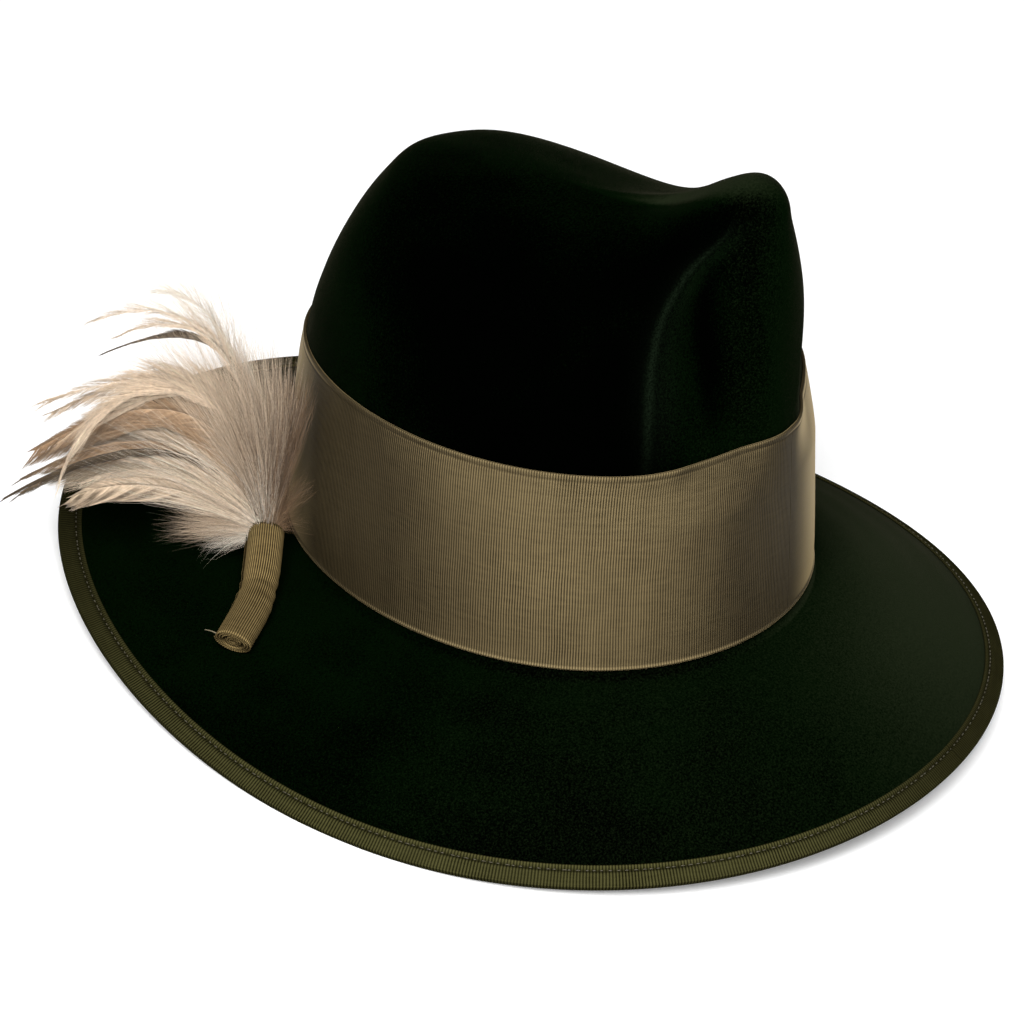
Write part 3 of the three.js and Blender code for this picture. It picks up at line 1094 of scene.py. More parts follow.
@dataclass(frozen=True)
class FeatherFinish:
    """Feather: the colour that each point carries, with fine streaks and a silky sheen."""

    name: str
    rough: float = 0.55
    sheen: float = 0.08
    sheen_rough: float = 0.35
    gloss_level: float = 0.25
    streak_size: float = 1.6 * MM
    streak_height: float = 0.05 * MM
    streak_colour: Colour = (0.45, 0.40, 0.36)
    streak_steps: tuple[float, float] = (0.7, 0.3)
    streak_share: float = 0.35

    def build(self) -> bpy.types.Material:
        """The carried colour, darker and lighter by noise at the size of a few barbs.

        Returns:
            The material.
        """
        nodes = Nodes(self.name)
        streak = nodes.noise(nodes.place(), 1.0 / self.streak_size, 3.0, 0.6)
        base = nodes.value("tint", "Color")
        share = streak.step(*self.streak_steps) * self.streak_share
        return nodes.finish(
            {
                "Base Color": nodes.mix(share, base, self.streak_colour, "MULTIPLY"),
                "Roughness": self.rough,
                "Specular IOR Level": self.gloss_level,
                "Sheen Weight": self.sheen,
                "Sheen Roughness": self.sheen_rough,
                "Normal": nodes.bump(streak, self.streak_height, 0.4),
            }
        )


@dataclass
class FeltShell:
    """Crown and brim, one piece of felt."""

    form: HatForm
    finish: FeltFinish = field(default_factory=FeltFinish)
    columns: int = 360
    top_rows: int = 9
    crown_rows: int = 90
    hidden_rows: int = 8
    fillet_rows: int = 6
    brim_rows: int = 62
    bound_rows: int = 3
    inner_every: int = 4
    wave: float = 0.35 * MM
    easing_rounds: int = 20
    easing: float = 0.5
    eased_share: float = 0.7
    # Painted highlight stripes: a thin line on the crease and a wide glow on the valley's lit slope.
    creases: tuple[Stripe, ...] = (Stripe(-0.2, 2.2, 0.34), Stripe(3.5, 11.0, 0.14))
    # Where a painted shadow streak runs down inside the pinch.
    streak: Streak = Streak(90.0 * MM, 50.0 * MM, -24.0, -9.0, 7.0, 0.3, (0.2, 0.8))
    # Strengths of painted sheen (above 0) and painted shade (below 0) on each part of the felt.
    brim_painted_sheen: float = 0.42
    left_painted_sheen: float = 0.56
    away_painted_shade: float = -0.12
    ahead_painted_sheen: float = 0.07
    front_painted_sheen: float = 0.45
    upper_painted_sheen: float = 0.5
    side_painted_shade: float = -0.06
    fold_painted_light: float = 0.3
    streak_painted_shade: float = -0.4
    top_painted_sheen: float = 0.9

    def rows(self) -> list[tuple[Surface, Array, float]]:
        """Rows from the top to the edge of the brim: a surface, its shares, and room to wave.

        Returns:
            Surface, share of each column along it, and room to wave in metres.
        """
        form = self.form
        turn = form.turns(self.columns)
        band_foot = form.place_at(form.band_lift)
        band_top = form.place_at(form.band_lift + form.band_height)
        rows = [(form.top, s, 0.0) for s in np.linspace(0.08, 1.0, self.top_rows, endpoint=False)]
        for share in np.linspace(1.0, band_top, self.crown_rows):
            room = smooth(band_top, band_top + 0.12, share) * smooth(1.0, 0.9, share)
            rows.append((form.crown, share, float(room)))
        rows += [(form.crown, s, 0.0) for s in np.linspace(band_top, band_foot, self.hidden_rows)[1:]]
        rows += [(form.fillet, s, 0.0) for s in np.linspace(0.0, 1.0, self.fillet_rows, endpoint=False)]
        bound = form.inset(turn, form.binding_width)
        for share in np.linspace(0.0, 1.0, self.brim_rows):
            room = smooth(0.0, 0.2, share) * smooth(1.0, 0.85, share)
            rows.append((form.brim, bound * share, float(room)))
        rows += [
            (form.brim, bound + (1.0 - bound) * s, 0.0)
            for s in np.linspace(0.0, 1.0, self.bound_rows + 1)[1:]
        ]
        return rows

    def ring(self, row: tuple[Surface, Array, float]) -> Array:
        """One ring of points of the outer face, waving by a product of two sines where it has room.

        Args:
            row: Its surface, its share, and its room to wave.

        Returns:
            Points in the row's frame.
        """
        surface, share, room = row
        turn = self.form.turns(self.columns)
        share = np.broadcast_to(share, turn.shape)
        wave = np.sin(5.0 * turn + 9.0 * share) * np.sin(3.0 * turn - 14.0 * share + 1.3)
        points = self.form.raised(surface, turn, share, self.wave * room * wave)
        return self.form.rested(points, self.form.ribbon + self.form.seat_gap)

    def rub(self, row: tuple[Surface, Array, float]) -> Array:
        """How strong the painted crease highlight is, with a little worn nap: two stripes along the creases.

        Args:
            row: Its surface, its share, and its room to wave.

        Returns:
            From 0 to 1, for each point of the ring.
        """
        surface, share, _ = row
        turn = self.form.turns(self.columns)
        if surface != self.form.crown:
            return np.zeros_like(turn)
        form = self.form
        height = surface(turn, np.broadcast_to(share, turn.shape))[..., 2]
        place = (height / form.crown_height - form.pinch_foot) / (form.pinch_top - form.pinch_foot)
        off = form.off_crease(turn, place)
        line = sum(stripe.at(off) for stripe in self.creases)
        return line * smooth(0.1, 0.5, place) * smooth(1.05, 0.85, place)

    def brushed(self, row: tuple[Surface, Array, float]) -> Array:
        """Painted sheen and shade on the felt, by which way each part faces: most on the left of the
        brim and at the front of the crown, less along the fold and on the rest of the brim, and least
        on the crown's side and in a painted shadow streak inside the pinch.

        Args:
            row: Its surface, its share, and its room to wave.

        Returns:
            About 0 to 1, for each point of the ring.
        """
        surface, share, _ = row
        turn = self.form.turns(self.columns)
        share = np.broadcast_to(share, turn.shape)
        if surface in (self.form.brim, self.form.fillet):
            left = self.towards(82.0, (-0.3, 0.9)) * smooth(-0.3, 0.6, share)
            away = self.towards(-150.0, (0.2, 0.95))
            ahead = self.towards(-25.0, (0.3, 1.0))
            return self.brim_painted_sheen + self.away_painted_shade * away + self.ahead_painted_sheen * ahead + self.left_painted_sheen * left
        front = self.towards(0.0, (0.66, 0.9))
        if surface != self.form.crown:
            return self.top_painted_sheen * front * share
        height = self.form.crown(turn, share)[..., 2]
        fold = self.form.fold(turn, height) / self.form.fold_rise
        on_front = self.front_painted_sheen + self.upper_painted_sheen * smooth(0.8, 0.97, share)
        on_crown = front * on_front + self.side_painted_shade * (1.0 - front)
        return on_crown + self.fold_painted_light * fold + self.streak_painted_shade * self.streak.at(turn, height)

    def towards(self, heading: float, steps: tuple[float, float]) -> Array:
        """How far each turn faces a heading: a smooth step of the cosine between them."""
        turn = self.form.turns(self.columns)
        return smooth(*steps, np.cos(turn - math.radians(heading)))

    def eased(self, rings: Array) -> Array:
        """The outer rings with the upper crown's folds smoothed: each point moves part of the
        way to the middle of its four neighbours, time after time.

        Args:
            rings: The outer rings, from the top down.

        Returns:
            The smoothed rings.
        """
        row = np.arange(len(rings))
        last = self.top_rows + self.crown_rows * self.eased_share
        weight = smooth(0.0, 3.0, row) * smooth(last, last * 0.6, row) * self.easing
        for _ in range(self.easing_rounds):
            beside = np.roll(rings, 1, axis=1) + np.roll(rings, -1, axis=1)
            above = np.concatenate([rings[:1], rings[:-1]])
            below = np.concatenate([rings[1:], rings[-1:]])
            rings = rings + ((beside + above + below) / 4.0 - rings) * weight[:, None, None]
        return rings

    def inner(self, outer: Array) -> Array:
        """The inner face's rings, from the edge back up: fewer rings of the outer face, moved in
        by the wall along normals that are worked out from its neighbouring points.

        Args:
            outer: The outer rings.

        Returns:
            The inner rings.
        """
        down = np.gradient(outer, axis=0)
        around = np.roll(outer, -1, axis=1) - np.roll(outer, 1, axis=1)
        normal = unit(np.cross(down, around))
        upright = np.sign(normal[0, :, 2].mean())
        keep = np.append(np.arange(0, len(outer) - 1, self.inner_every), len(outer) - 1)
        inner = outer[keep] - normal[keep] * upright * self.form.felt_wall
        inner[..., 2] = np.maximum(inner[..., 2], self.form.ribbon + self.form.seat_gap)
        return inner[::-1]

    def build(self) -> bpy.types.Object:
        """The felt as one closed shell: outer rings, the edge, and fewer inner rings back up.

        Returns:
            The finished piece.
        """
        rows = self.rows()
        outer = self.eased(np.stack([self.ring(row) for row in rows]))
        inner = self.inner(outer)
        points = np.concatenate([outer, inner])
        flat = points.reshape(-1, 3)
        top = self.form.top(np.zeros(1), np.zeros(1))
        poles = [self.form.rested(top - np.array([0.0, 0.0, d])) for d in (0.0, self.form.felt_wall)]
        count = len(flat)
        faces = grid_faces(len(points), self.columns, (False, True))
        faces = facing_out(flat, faces)
        flip = bool(faces[0][0][0, 0] == 0)
        ring = np.arange(self.columns)
        faces.append(fan_faces(count, ring, not flip))
        faces.append(fan_faces(count + 1, ring + count - self.columns, flip))
        plain = [np.zeros(self.columns)] * len(inner) + [np.zeros(2)]
        # Painted crease highlight, with a little worn nap, one value a point.
        rub = np.concatenate([self.rub(row) for row in rows] + plain)
        # Painted sheen and shade, one value a point.
        brushed = np.concatenate([self.brushed(row) for row in rows] + plain)
        mesh = PieceMesh()
        mesh.add(np.concatenate([flat, *poles]), faces, rub=rub, brushed=brushed)
        return mesh.build("felt_shell", self.finish.build(), "felt", ("felt_body",))


@dataclass
class HatBand:
    """The wide ribbon round the crown."""

    form: HatForm
    finish: RibbonFinish = field(
        default_factory=lambda: RibbonFinish(
            "band_ribbon",
            light=(0.160, 0.121, 0.060),
            groove=(0.003, 0.002, 0.001),
            # fade and rim: painted shade where the band slants away, and a painted rim light at its outline.
            fade=0.66,
            rim=1.0,
        )
    )
    columns: int = 440
    steps: int = 56
    edge_rows: int = 14
    edge_zone: float = 4.0 * MM
    inner_every: int = 4
    foot_cord: Stripe = Stripe(0.65 * MM, 1.3 * MM, 0.4 * MM)
    top_cord: Stripe = Stripe(0.65 * MM, 1.3 * MM, 0.16 * MM)
    top_line: Stripe = Stripe(2.2 * MM, 0.8 * MM, -0.15 * MM)
    lip: Stripe = Stripe(-52.0, 44.0, 0.7 * MM)
    lip_tall: float = 9.0 * MM
    kink: Stripe = Stripe(-36.0, 7.0, 0.8 * MM)
    kink_tall: float = 7.0 * MM
    lip_share: float = 0.8
    slack: float = 0.22 * MM
    slack_margin: float = 10.0 * MM
    # Painted shade in the groove at the foot of the lower cord and in the line inside the top one.
    foot_groove_shade: Stripe = Stripe(1.7 * MM, 0.6 * MM, 0.4)
    top_groove_shade: Stripe = Stripe(2.2 * MM, 0.7 * MM, 0.5)
    foot_pale: Stripe = Stripe(0.0, 2.4 * MM, 0.8)
    top_pale: Stripe = Stripe(0.0, 1.2 * MM, 0.2)

    def relief(self, up: Array, turn: Array) -> Array:
        """Height of the ribbon's face over its middle: corded edges, a line inside the top one,
        and a lip that stands away from the felt on the wearer's right.

        Args:
            up: Metres from the lower edge.
            turn: Turn from the front.

        Returns:
            Metres to add along the normal.
        """
        width = self.form.band_height
        down = width - up
        angle = signed_degrees(turn)
        cords = self.foot_cord.at(up) + self.top_cord.at(down) + self.top_line.at(down)
        lip = self.lip.at(angle) * smooth(width - self.lip_tall, width, up)
        kink = self.kink.at(angle) * smooth(width - self.kink_tall, width, up)
        slack = self.slack * np.sin(2.0 * turn + 1.0) * np.sin(up * 60.0 + 3.0 * turn)
        held = smooth(0, self.slack_margin, up) * smooth(width, width - self.slack_margin, up)
        return cords + lip + kink + slack * held

    def build(self) -> bpy.types.Object:
        """A closed loop: rows up the outer face and rows down the inner one.

        Returns:
            The finished piece.
        """
        form = self.form
        turn = form.turns(self.columns)
        width = form.band_height
        fine = np.linspace(0.0, self.edge_zone, self.edge_rows)
        middle = np.linspace(self.edge_zone, width - self.edge_zone, self.steps - 20)[1:-1]
        ups = np.concatenate([fine, middle, width - fine[::-1]])
        back = ups[:: -self.inner_every]
        face = form.seat_gap + form.ribbon
        outer = [self.ring(turn, up, face + self.relief(up, turn)) for up in ups]
        follow = self.relief(back[0], turn) * self.lip_share
        inner = [self.ring(turn, up, form.seat_gap + (follow if up == width else 0.0)) for up in back]
        points = np.stack(outer + inner)
        rise = np.concatenate([ups, back, ups[:1]])
        faces = grid_faces(len(points), self.columns, (True, True), ribbon_places(outer[0], rise))
        flat = points.reshape(-1, 3)
        up, down = rise[:-1], width - rise[:-1]
        looks = {
            "edge": np.maximum(self.foot_pale.at(up), self.top_pale.at(down)),
            # seam: painted shade in the grooves by the cords.
            "seam": self.top_groove_shade.at(down) + self.foot_groove_shade.at(up),
        }
        mesh = PieceMesh()
        repeated = {name: np.repeat(value, self.columns) for name, value in looks.items()}
        mesh.add(flat, facing_out(flat, faces), **repeated)
        return mesh.build("hat_band_ribbon", self.finish.build(), "band_ribbon", ("hat_band",))

    def ring(self, turn: Array, up: float, off: Array) -> Array:
        """One ring of the ribbon, by metres up from its lower edge and metres off the felt."""
        place = np.full_like(turn, self.form.place_at(self.form.band_lift + up))
        return self.form.rested(self.form.raised(self.form.crown, turn, place, off))


@dataclass
class BrimBinding:
    """The ribbon bound over the edge of the brim, and its stitches."""

    form: HatForm
    finish: RibbonFinish = field(
        default_factory=lambda: RibbonFinish(
            "binding_ribbon",
            light=(0.056, 0.053, 0.019),
            groove=(0.006, 0.0056, 0.0019),
            rib_pitch=1.1 * MM,
            gloss_level=0.0,
            # fade: painted shade where the binding slants away.
            fade=0.55,
            grain_share=0.35,
        )
    )
    thread: ThreadFinish = field(
        default_factory=lambda: ThreadFinish("binding_thread", (0.066, 0.056, 0.026))
    )
    columns: int = 640
    stitch_inset: float = 2.3 * MM
    stitch_length: float = 1.6 * MM
    stitch_gap: float = 1.2 * MM
    stitch_radius: float = 0.19 * MM
    stitch_uneven: tuple[float, float] = (0.55, 1.05)
    stitch_seed: int = 11
    fine_turns: int = 6000
    seam_depth: float = 0.45 * MM
    seam_width: float = 1.5 * MM
    bead: Stripe = Stripe(0.5 * MM, 1.0 * MM, 0.15 * MM)
    swell: float = 0.45 * MM
    front_narrowing: float = 0.27
    narrowest: float = -25.0
    slimmer: float = 0.4 * MM
    slim_reach: float = 2.0 * MM
    upper_rows: int = 26
    nose_rows: int = 12
    lower_rows: int = 10
    pale_edge: Stripe = Stripe(0.3 * MM, 1.4 * MM, 0.3)
    # Painted shade in the seam's groove.
    seam_groove_shade: Stripe = Stripe(2.3 * MM, 0.9 * MM, 0.7)

    def share_width(self, turn: Array) -> Array:
        """The binding's width over the upper face, as a share: it is narrower at the front."""
        return 1.0 - self.front_narrowing * (1.0 + np.cos(turn - math.radians(self.narrowest))) / 2.0

    def height(self, across: float, slim: float) -> float:
        """How far the upper face stands off the felt: the ribbon, a sine's swell over its width,
        a bead at its edge and the groove of its seam.

        Args:
            across: Metres from the inner edge.
            slim: Metres by which the ribbon is pulled thinner there.

        Returns:
            Metres.
        """
        form = self.form
        thick = form.seat_gap + form.ribbon - slim
        groove = float(hump(across - self.stitch_inset, self.seam_width)) * self.seam_depth
        share = min(max(across / form.binding_width, 0.0), 1.0)
        return thick - groove + float(self.bead.at(across)) + self.swell * math.sin(math.pi * share)

    def section(self) -> list[tuple[float, float, float]]:
        """The outer face's section: metres in from the felt's edge, metres off its face, and
        metres along the ribbon, from the upper inner edge over the nose to the lower one.

        Returns:
            The three measures of each row.
        """
        form = self.form
        thick = form.seat_gap + form.ribbon
        width = form.binding_width
        rows = []
        for inset in np.linspace(width, 0.0, self.upper_rows):
            slim = self.slimmer * min(inset / self.slim_reach, 1.0)
            rows.append((inset, self.height(width - inset, slim), width - inset))
        radius = thick + form.felt_wall / 2
        for angle in np.linspace(0.0, math.pi, self.nose_rows)[1:-1]:
            out = math.sin(angle) * thick
            off = math.cos(angle) * radius - form.felt_wall / 2
            rows.append((-out, off, width + angle * radius))
        for inset in np.linspace(0.0, width, self.lower_rows):
            rows.append((inset, -form.felt_wall - thick, width + math.pi * radius + inset))
        return rows

    def ring(self, inset: float, off: float, clearance: float) -> Array:
        """One ring of the ribbon.

        Args:
            inset: Metres in from the felt's edge, below 0 past it.
            off: Metres off the felt's upper face.
            clearance: Least height above the floor.

        Returns:
            Points in the row's frame.
        """
        form = self.form
        turn = form.turns(self.columns)
        upper = off > -form.felt_wall / 2
        inside = max(inset, 0.0) * (self.share_width(turn) if upper else 1.0)
        points = form.raised(form.brim, turn, form.inset(turn, inside), off)
        away = form.outward(turn) * max(-inset, 0.0)
        return form.rested(points + away, clearance)

    def build(self) -> bpy.types.Object:
        """A closed channel: the outer face's rings, then the inner face's back to the start.

        Returns:
            The finished piece.
        """
        form = self.form
        outer = self.section()
        gap = form.seat_gap
        width = form.binding_width
        inner = [(i, -form.felt_wall - gap) for i in (width, width / 2, 0.0)]
        inner += [(-gap, -form.felt_wall), (-gap, 0.0)] + [(i, gap) for i in (0.0, width / 2, width)]
        rings = [self.ring(i, o, 0.0) for i, o, _ in outer]
        rings += [self.ring(i, o, form.ribbon) for i, o in inner]
        points = np.stack(rings)
        across = np.array([a for _, _, a in outer] + [0.0] * (len(inner) + 1))
        faces = grid_faces(len(points), self.columns, (True, True), ribbon_places(rings[0], across))
        flat = points.reshape(-1, 3)
        edge = np.repeat(self.pale_edge.at(across[:-1]), self.columns)
        seam = np.repeat(self.seam_groove_shade.at(across[:-1]), self.columns)
        edge[len(outer) * self.columns :] = 0.0
        mesh = PieceMesh()
        mesh.add(flat, facing_out(flat, faces), edge=edge, seam=seam)
        return mesh.build("brim_binding_ribbon", self.finish.build(), "trim_ribbon", ("brim_binding",))

    def stitches(self) -> bpy.types.Object:
        """Running stitches along the seam: short tapered threads that dip in at both ends.

        Returns:
            The finished piece.
        """
        form = self.form
        fine = form.turns(self.fine_turns)
        swell = self.swell * math.sin(math.pi * self.stitch_inset / form.binding_width)
        off = form.seat_gap + form.ribbon - self.slimmer - self.seam_depth + swell + 0.1 * MM
        inset = (form.binding_width - self.stitch_inset) * self.share_width(fine)
        line = form.rested(form.raised(form.brim, fine, form.inset(fine, inset), off))
        lift = form.turned(form.normal(form.brim, fine, form.inset(fine, form.binding_width)))
        length = run_length(line)
        pitch = self.stitch_length + self.stitch_gap
        count = int(length[-1] / pitch)
        share = np.linspace(0.0, 1.0, 7)
        rng = np.random.default_rng(self.stitch_seed)
        start = np.arange(count) * (length[-1] / count) + rng.uniform(-0.2, 0.2, count) * pitch
        reach = self.stitch_length * rng.uniform(*self.stitch_uneven, (count, 1))
        where = start[:, None] + share[None, :] * reach
        path = read_line(where, length, line)
        up = unit(read_line(where, length, lift))
        arch = (np.sin(share * np.pi) - 0.55) * self.stitch_radius * 1.3
        path = path + up * arch[None, :, None]
        radius = self.stitch_radius * (0.35 + 0.65 * np.sin(share * np.pi) ** 0.5)
        mesh = PieceMesh()
        add_tubes(mesh, path, np.broadcast_to(radius, where.shape), up[:, 0], 6)
        return mesh.build("binding_stitches", self.thread.build(), "trim_ribbon")


def add_tubes(
    mesh: PieceMesh, paths: Array, radii: Array, side: Array, sides: int, **tints: Array
) -> None:
    """Adds round tubes with closed ends.

    Args:
        mesh: Where they go.
        paths: Points along each, tube by tube.
        radii: The radius at each point.
        side: For each tube, a direction that isn't along it.
        sides: Corners of a section.
        tints: Named values, one to a point of a path.
    """
    tubes, steps = paths.shape[:2]
    across, up = frame_along(paths, side[:, None, :])
    angle = np.arange(sides) * (2.0 * np.pi / sides)
    ring = across[:, :, None] * np.cos(angle)[:, None] + up[:, :, None] * np.sin(angle)[:, None]
    points = paths[:, :, None] + ring * radii[:, :, None, None]
    base = np.arange(tubes)[:, None, None] * steps * sides
    row, col = np.meshgrid(np.arange(steps - 1), np.arange(sides), indexing="ij")
    nxt = (col + 1) % sides
    low, high = row * sides, (row + 1) * sides
    quad = np.stack([low + col, low + nxt, high + nxt, high + col], -1)
    corners = (base[..., None] + quad[None]).reshape(-1, 4)
    length = run_length(paths)
    u = np.stack([length[:, row], length[:, row], length[:, row + 1], length[:, row + 1]], -1)
    v = np.broadcast_to(np.stack([col, col + 1, col + 1, col], -1) / sides, u.shape)
    faces = [(corners, np.stack([u, v], -1).reshape(-1, 4, 2))]
    cap = np.arange(sides)
    first = base[:, :, 0] + cap[None, ::-1]
    last = base[:, :, 0] + (steps - 1) * sides + cap[None, :]
    faces += [(first, None), (last, None)]
    values = {
        name: np.repeat(tint.reshape(-1, tint.shape[-1]), sides, axis=0) for name, tint in tints.items()
    }
    mesh.add(points.reshape(-1, 3), faces, **values)


@dataclass(frozen=True)
class RollSpot:
    """A place of the roll's middle line: turn in degrees, share of the brim, and a rise."""

    turn: float
    out: float
    rise: float = 0.0


@dataclass
class RolledStem:
    """The ribbon rolled up tightly that holds the feathers, its end showing a spiral."""

    form: HatForm
    finish: RibbonFinish = field(
        default_factory=lambda: RibbonFinish(
            "stem_ribbon",
            light=(0.30, 0.215, 0.09),
            groove=(0.004, 0.003, 0.001),
            rib_pitch=1.0 * MM,
            waver=0.0,
            gloss_level=0.0,
            # fade: painted shade where the roll slants away.
            fade=0.6,
            lengthwise=True,
        )
    )
    thread: ThreadFinish = field(
        default_factory=lambda: ThreadFinish("stem_thread", (0.20, 0.16, 0.09))
    )
    radius: float = 7.3 * MM
    core: float = 3.5 * MM
    windings: float = 3.0
    seat: float = 0.6 * MM
    foot: RollSpot = RollSpot(-114.5, 0.58)
    bend: RollSpot = RollSpot(-121.6, 0.33)
    head: RollSpot = RollSpot(-135.0, 0.14, 10.0 * MM)
    ribs: int = 44
    rib_points: int = 5
    steps: int = 40
    rib_depth: float = 0.3 * MM
    rolled_wall: float = 0.72 * MM
    shown: tuple[float, float] = (0.03, 0.93)
    foot_tilt: float = 0.32
    squash: float = 0.02
    squeeze: Stripe = Stripe(0.52, 0.16, -0.05)
    crumple: Stripe = Stripe(0.5, 0.3, 0.35 * MM)
    core_gap: float = 0.15 * MM
    core_hole: float = 0.6 * MM
    core_windings: float = 2.0
    core_steps: int = 16
    core_end: float = 0.6
    thread_reach: float = 4.5 * MM
    thread_bow: float = 0.4 * MM
    thread_radius: float = 0.22 * MM
    thread_steps: int = 14

    def spots(self) -> Array:
        """The three places that the roll's middle line runs through, rested.

        Returns:
            Three points.
        """
        form = self.form
        places = []
        for spot in (self.foot, self.bend, self.head):
            turn = np.radians(np.array([spot.turn]))
            point = form.raised(form.brim, turn, np.array([spot.out]), self.radius + self.seat)
            places.append(point[0] + np.array([0.0, 0.0, spot.rise]))
        return form.turned(np.array(places)) + form.rest_shift()

    def line(self, steps: int, start: float = 0.0, end: float = 1.0) -> Array:
        """Points at even steps of length along a centripetal Catmull-Rom curve through the spots.

        Args:
            steps: How many points.
            start: Where the first lies, as a share of what shows of the roll.
            end: Where the last lies.

        Returns:
            The points.
        """
        a, b, c = self.spots()
        knots = [a + (a - b), a, b, c, c + (c - b)]
        fine = np.linspace(0.0, 1.0, 200)
        parts = [catmull(knots[k : k + 4], fine[: -1 if k == 0 else None]) for k in range(2)]
        curve = np.concatenate(parts)
        length = run_length(curve)
        low, high = self.shown
        at = (low + (high - low) * np.linspace(start, end, steps)) * length[-1]
        return read_line(at, length, curve)

    def spiral(self, inner: float, outer: float, windings: float) -> tuple[Array, Array]:
        """A wound ribbon's section, its ribs standing out of both faces.

        Args:
            inner: Radius of the inmost face.
            outer: Radius of the outmost face.
            windings: Turns of the ribbon.

        Returns:
            The section's points, and metres along the ribbon at each.
        """
        count = int(windings * self.ribs * self.rib_points) + 1
        angle = np.linspace(0.0, windings * 2.0 * np.pi, count)
        thick = self.rolled_wall
        radius = inner + (outer - inner - thick) * np.linspace(0.0, 1.0, count)
        rib = np.cos(angle * self.ribs) * self.rib_depth / 2
        squash = 1.0 + self.squash * np.sin(2.0 * angle + 0.7)
        way = np.stack([np.cos(angle), np.sin(angle)], -1)
        ramp = np.linspace(0.0, 40.0, count)
        taper = np.clip(np.minimum(ramp, ramp[::-1]), 0.1, 1.0)
        half = thick / 2 - self.rib_depth / 2
        outside = (radius + thick / 2 + (half + rib) * taper) * squash
        inside = (radius + thick / 2 - (half - rib * 0.5) * taper) * squash
        section = np.concatenate([way * outside[:, None], (way * inside[:, None])[::-1]])
        rolled = angle * self.ribs * self.finish.rib_pitch / (2.0 * np.pi)
        return section, np.concatenate([rolled, rolled[::-1]])

    def carry(self, section: Array, along: Array, path: Array, ends: float) -> PieceMesh:
        """Carries a section along a path, with a squeeze and a crumple at the bend, a tilted foot
        and closed ends.

        Args:
            section: The section's points, out along one face and back along the other.
            along: Metres along the ribbon at each.
            path: Points of the roll's middle line.
            ends: How strong the squeeze and the crumple are.

        Returns:
            The closed body.
        """
        across, up = frame_along(path, np.array([0.0, 0.0, 1.0]))
        share = np.linspace(0.0, 1.0, len(path))
        squeeze = 1.0 + self.squeeze.at(share) * ends
        angle = np.arctan2(section[:, 1], section[:, 0])
        radial = np.linalg.norm(section, axis=1)
        crumple = np.sin(share[:, None] * 62.0) * np.cos(angle[None, :] + 0.4)
        crumple = crumple * self.crumple.at(share)[:, None] * ends * (radial / self.radius)[None, :] ** 4
        reach = squeeze[:, None] + crumple / np.maximum(radial, 1.0 * MM)[None, :]
        flat = section[None] * reach[..., None]
        points = path[:, None] + across[:, None] * flat[..., :1] + up[:, None] * flat[..., 1:]
        along_path = unit(np.gradient(path, axis=0))
        overhang = self.foot_tilt * smooth(0.3, 0.0, share)[:, None, None] * flat[..., 1:]
        points = points - along_path[:, None] * overhang
        rows, cols = points.shape[:2]
        rolled = np.append(along, along[0])
        uv = np.stack(np.broadcast_arrays(run_length(path)[:, None], rolled[None, :]), -1)
        faces = grid_faces(rows, cols, (False, True), uv)
        flat_points = points.reshape(-1, 3)
        half = cols // 2
        pair = np.arange(half - 1)
        strip = np.stack([pair, pair + 1, cols - 2 - pair, cols - 1 - pair], 1)
        place = np.stack([np.zeros_like(along), along], -1)[strip]
        faces.append((strip, place))
        faces.append(((strip + (rows - 1) * cols)[:, ::-1], place[:, ::-1]))
        mesh = PieceMesh()
        plain = np.zeros(len(flat_points))
        mesh.add(flat_points, facing_out(flat_points, faces), edge=plain, seam=plain)
        return mesh

    def build(self) -> bpy.types.Object:
        """The outer windings, as long as the roll.

        Returns:
            The finished piece.
        """
        section, along = self.spiral(self.core, self.radius, self.windings)
        mesh = self.carry(section, along, self.line(self.steps), 1.0)
        return mesh.build("rolled_ribbon", self.finish.build(), "trim_ribbon", ("rolled_stem",))

    def build_core(self) -> bpy.types.Object:
        """The inner windings, which end short of the feathers' root.

        Returns:
            The finished piece.
        """
        section, along = self.spiral(self.core_hole, self.core - self.core_gap, self.core_windings)
        mesh = self.carry(section, along, self.line(self.core_steps, 0.006, self.core_end), 0.0)
        return mesh.build("rolled_ribbon_core", self.finish.build(), "trim_ribbon")

    def loose_thread(self) -> bpy.types.Object:
        """The end of a thread that sticks out of the roll's foot.

        Returns:
            The finished piece.
        """
        path = self.line(self.steps)
        across, up = frame_along(path, np.array([0.0, 0.0, 1.0]))
        start = path[1] + across[1] * self.radius * 0.93 + up[1] * self.radius * 0.1
        share = np.linspace(0.0, 1.0, self.thread_steps)[:, None]
        bow = np.sin(share * np.pi * 0.9) * self.thread_bow
        tail = start + across[1] * share * self.thread_reach + up[1] * bow
        radii = self.thread_radius * np.linspace(1.0, 0.6, self.thread_steps)
        mesh = PieceMesh()
        add_tubes(mesh, tail[None], radii[None], up[1][None], 6)
        return mesh.build("stem_thread_end", self.thread.build(), "trim_ribbon")


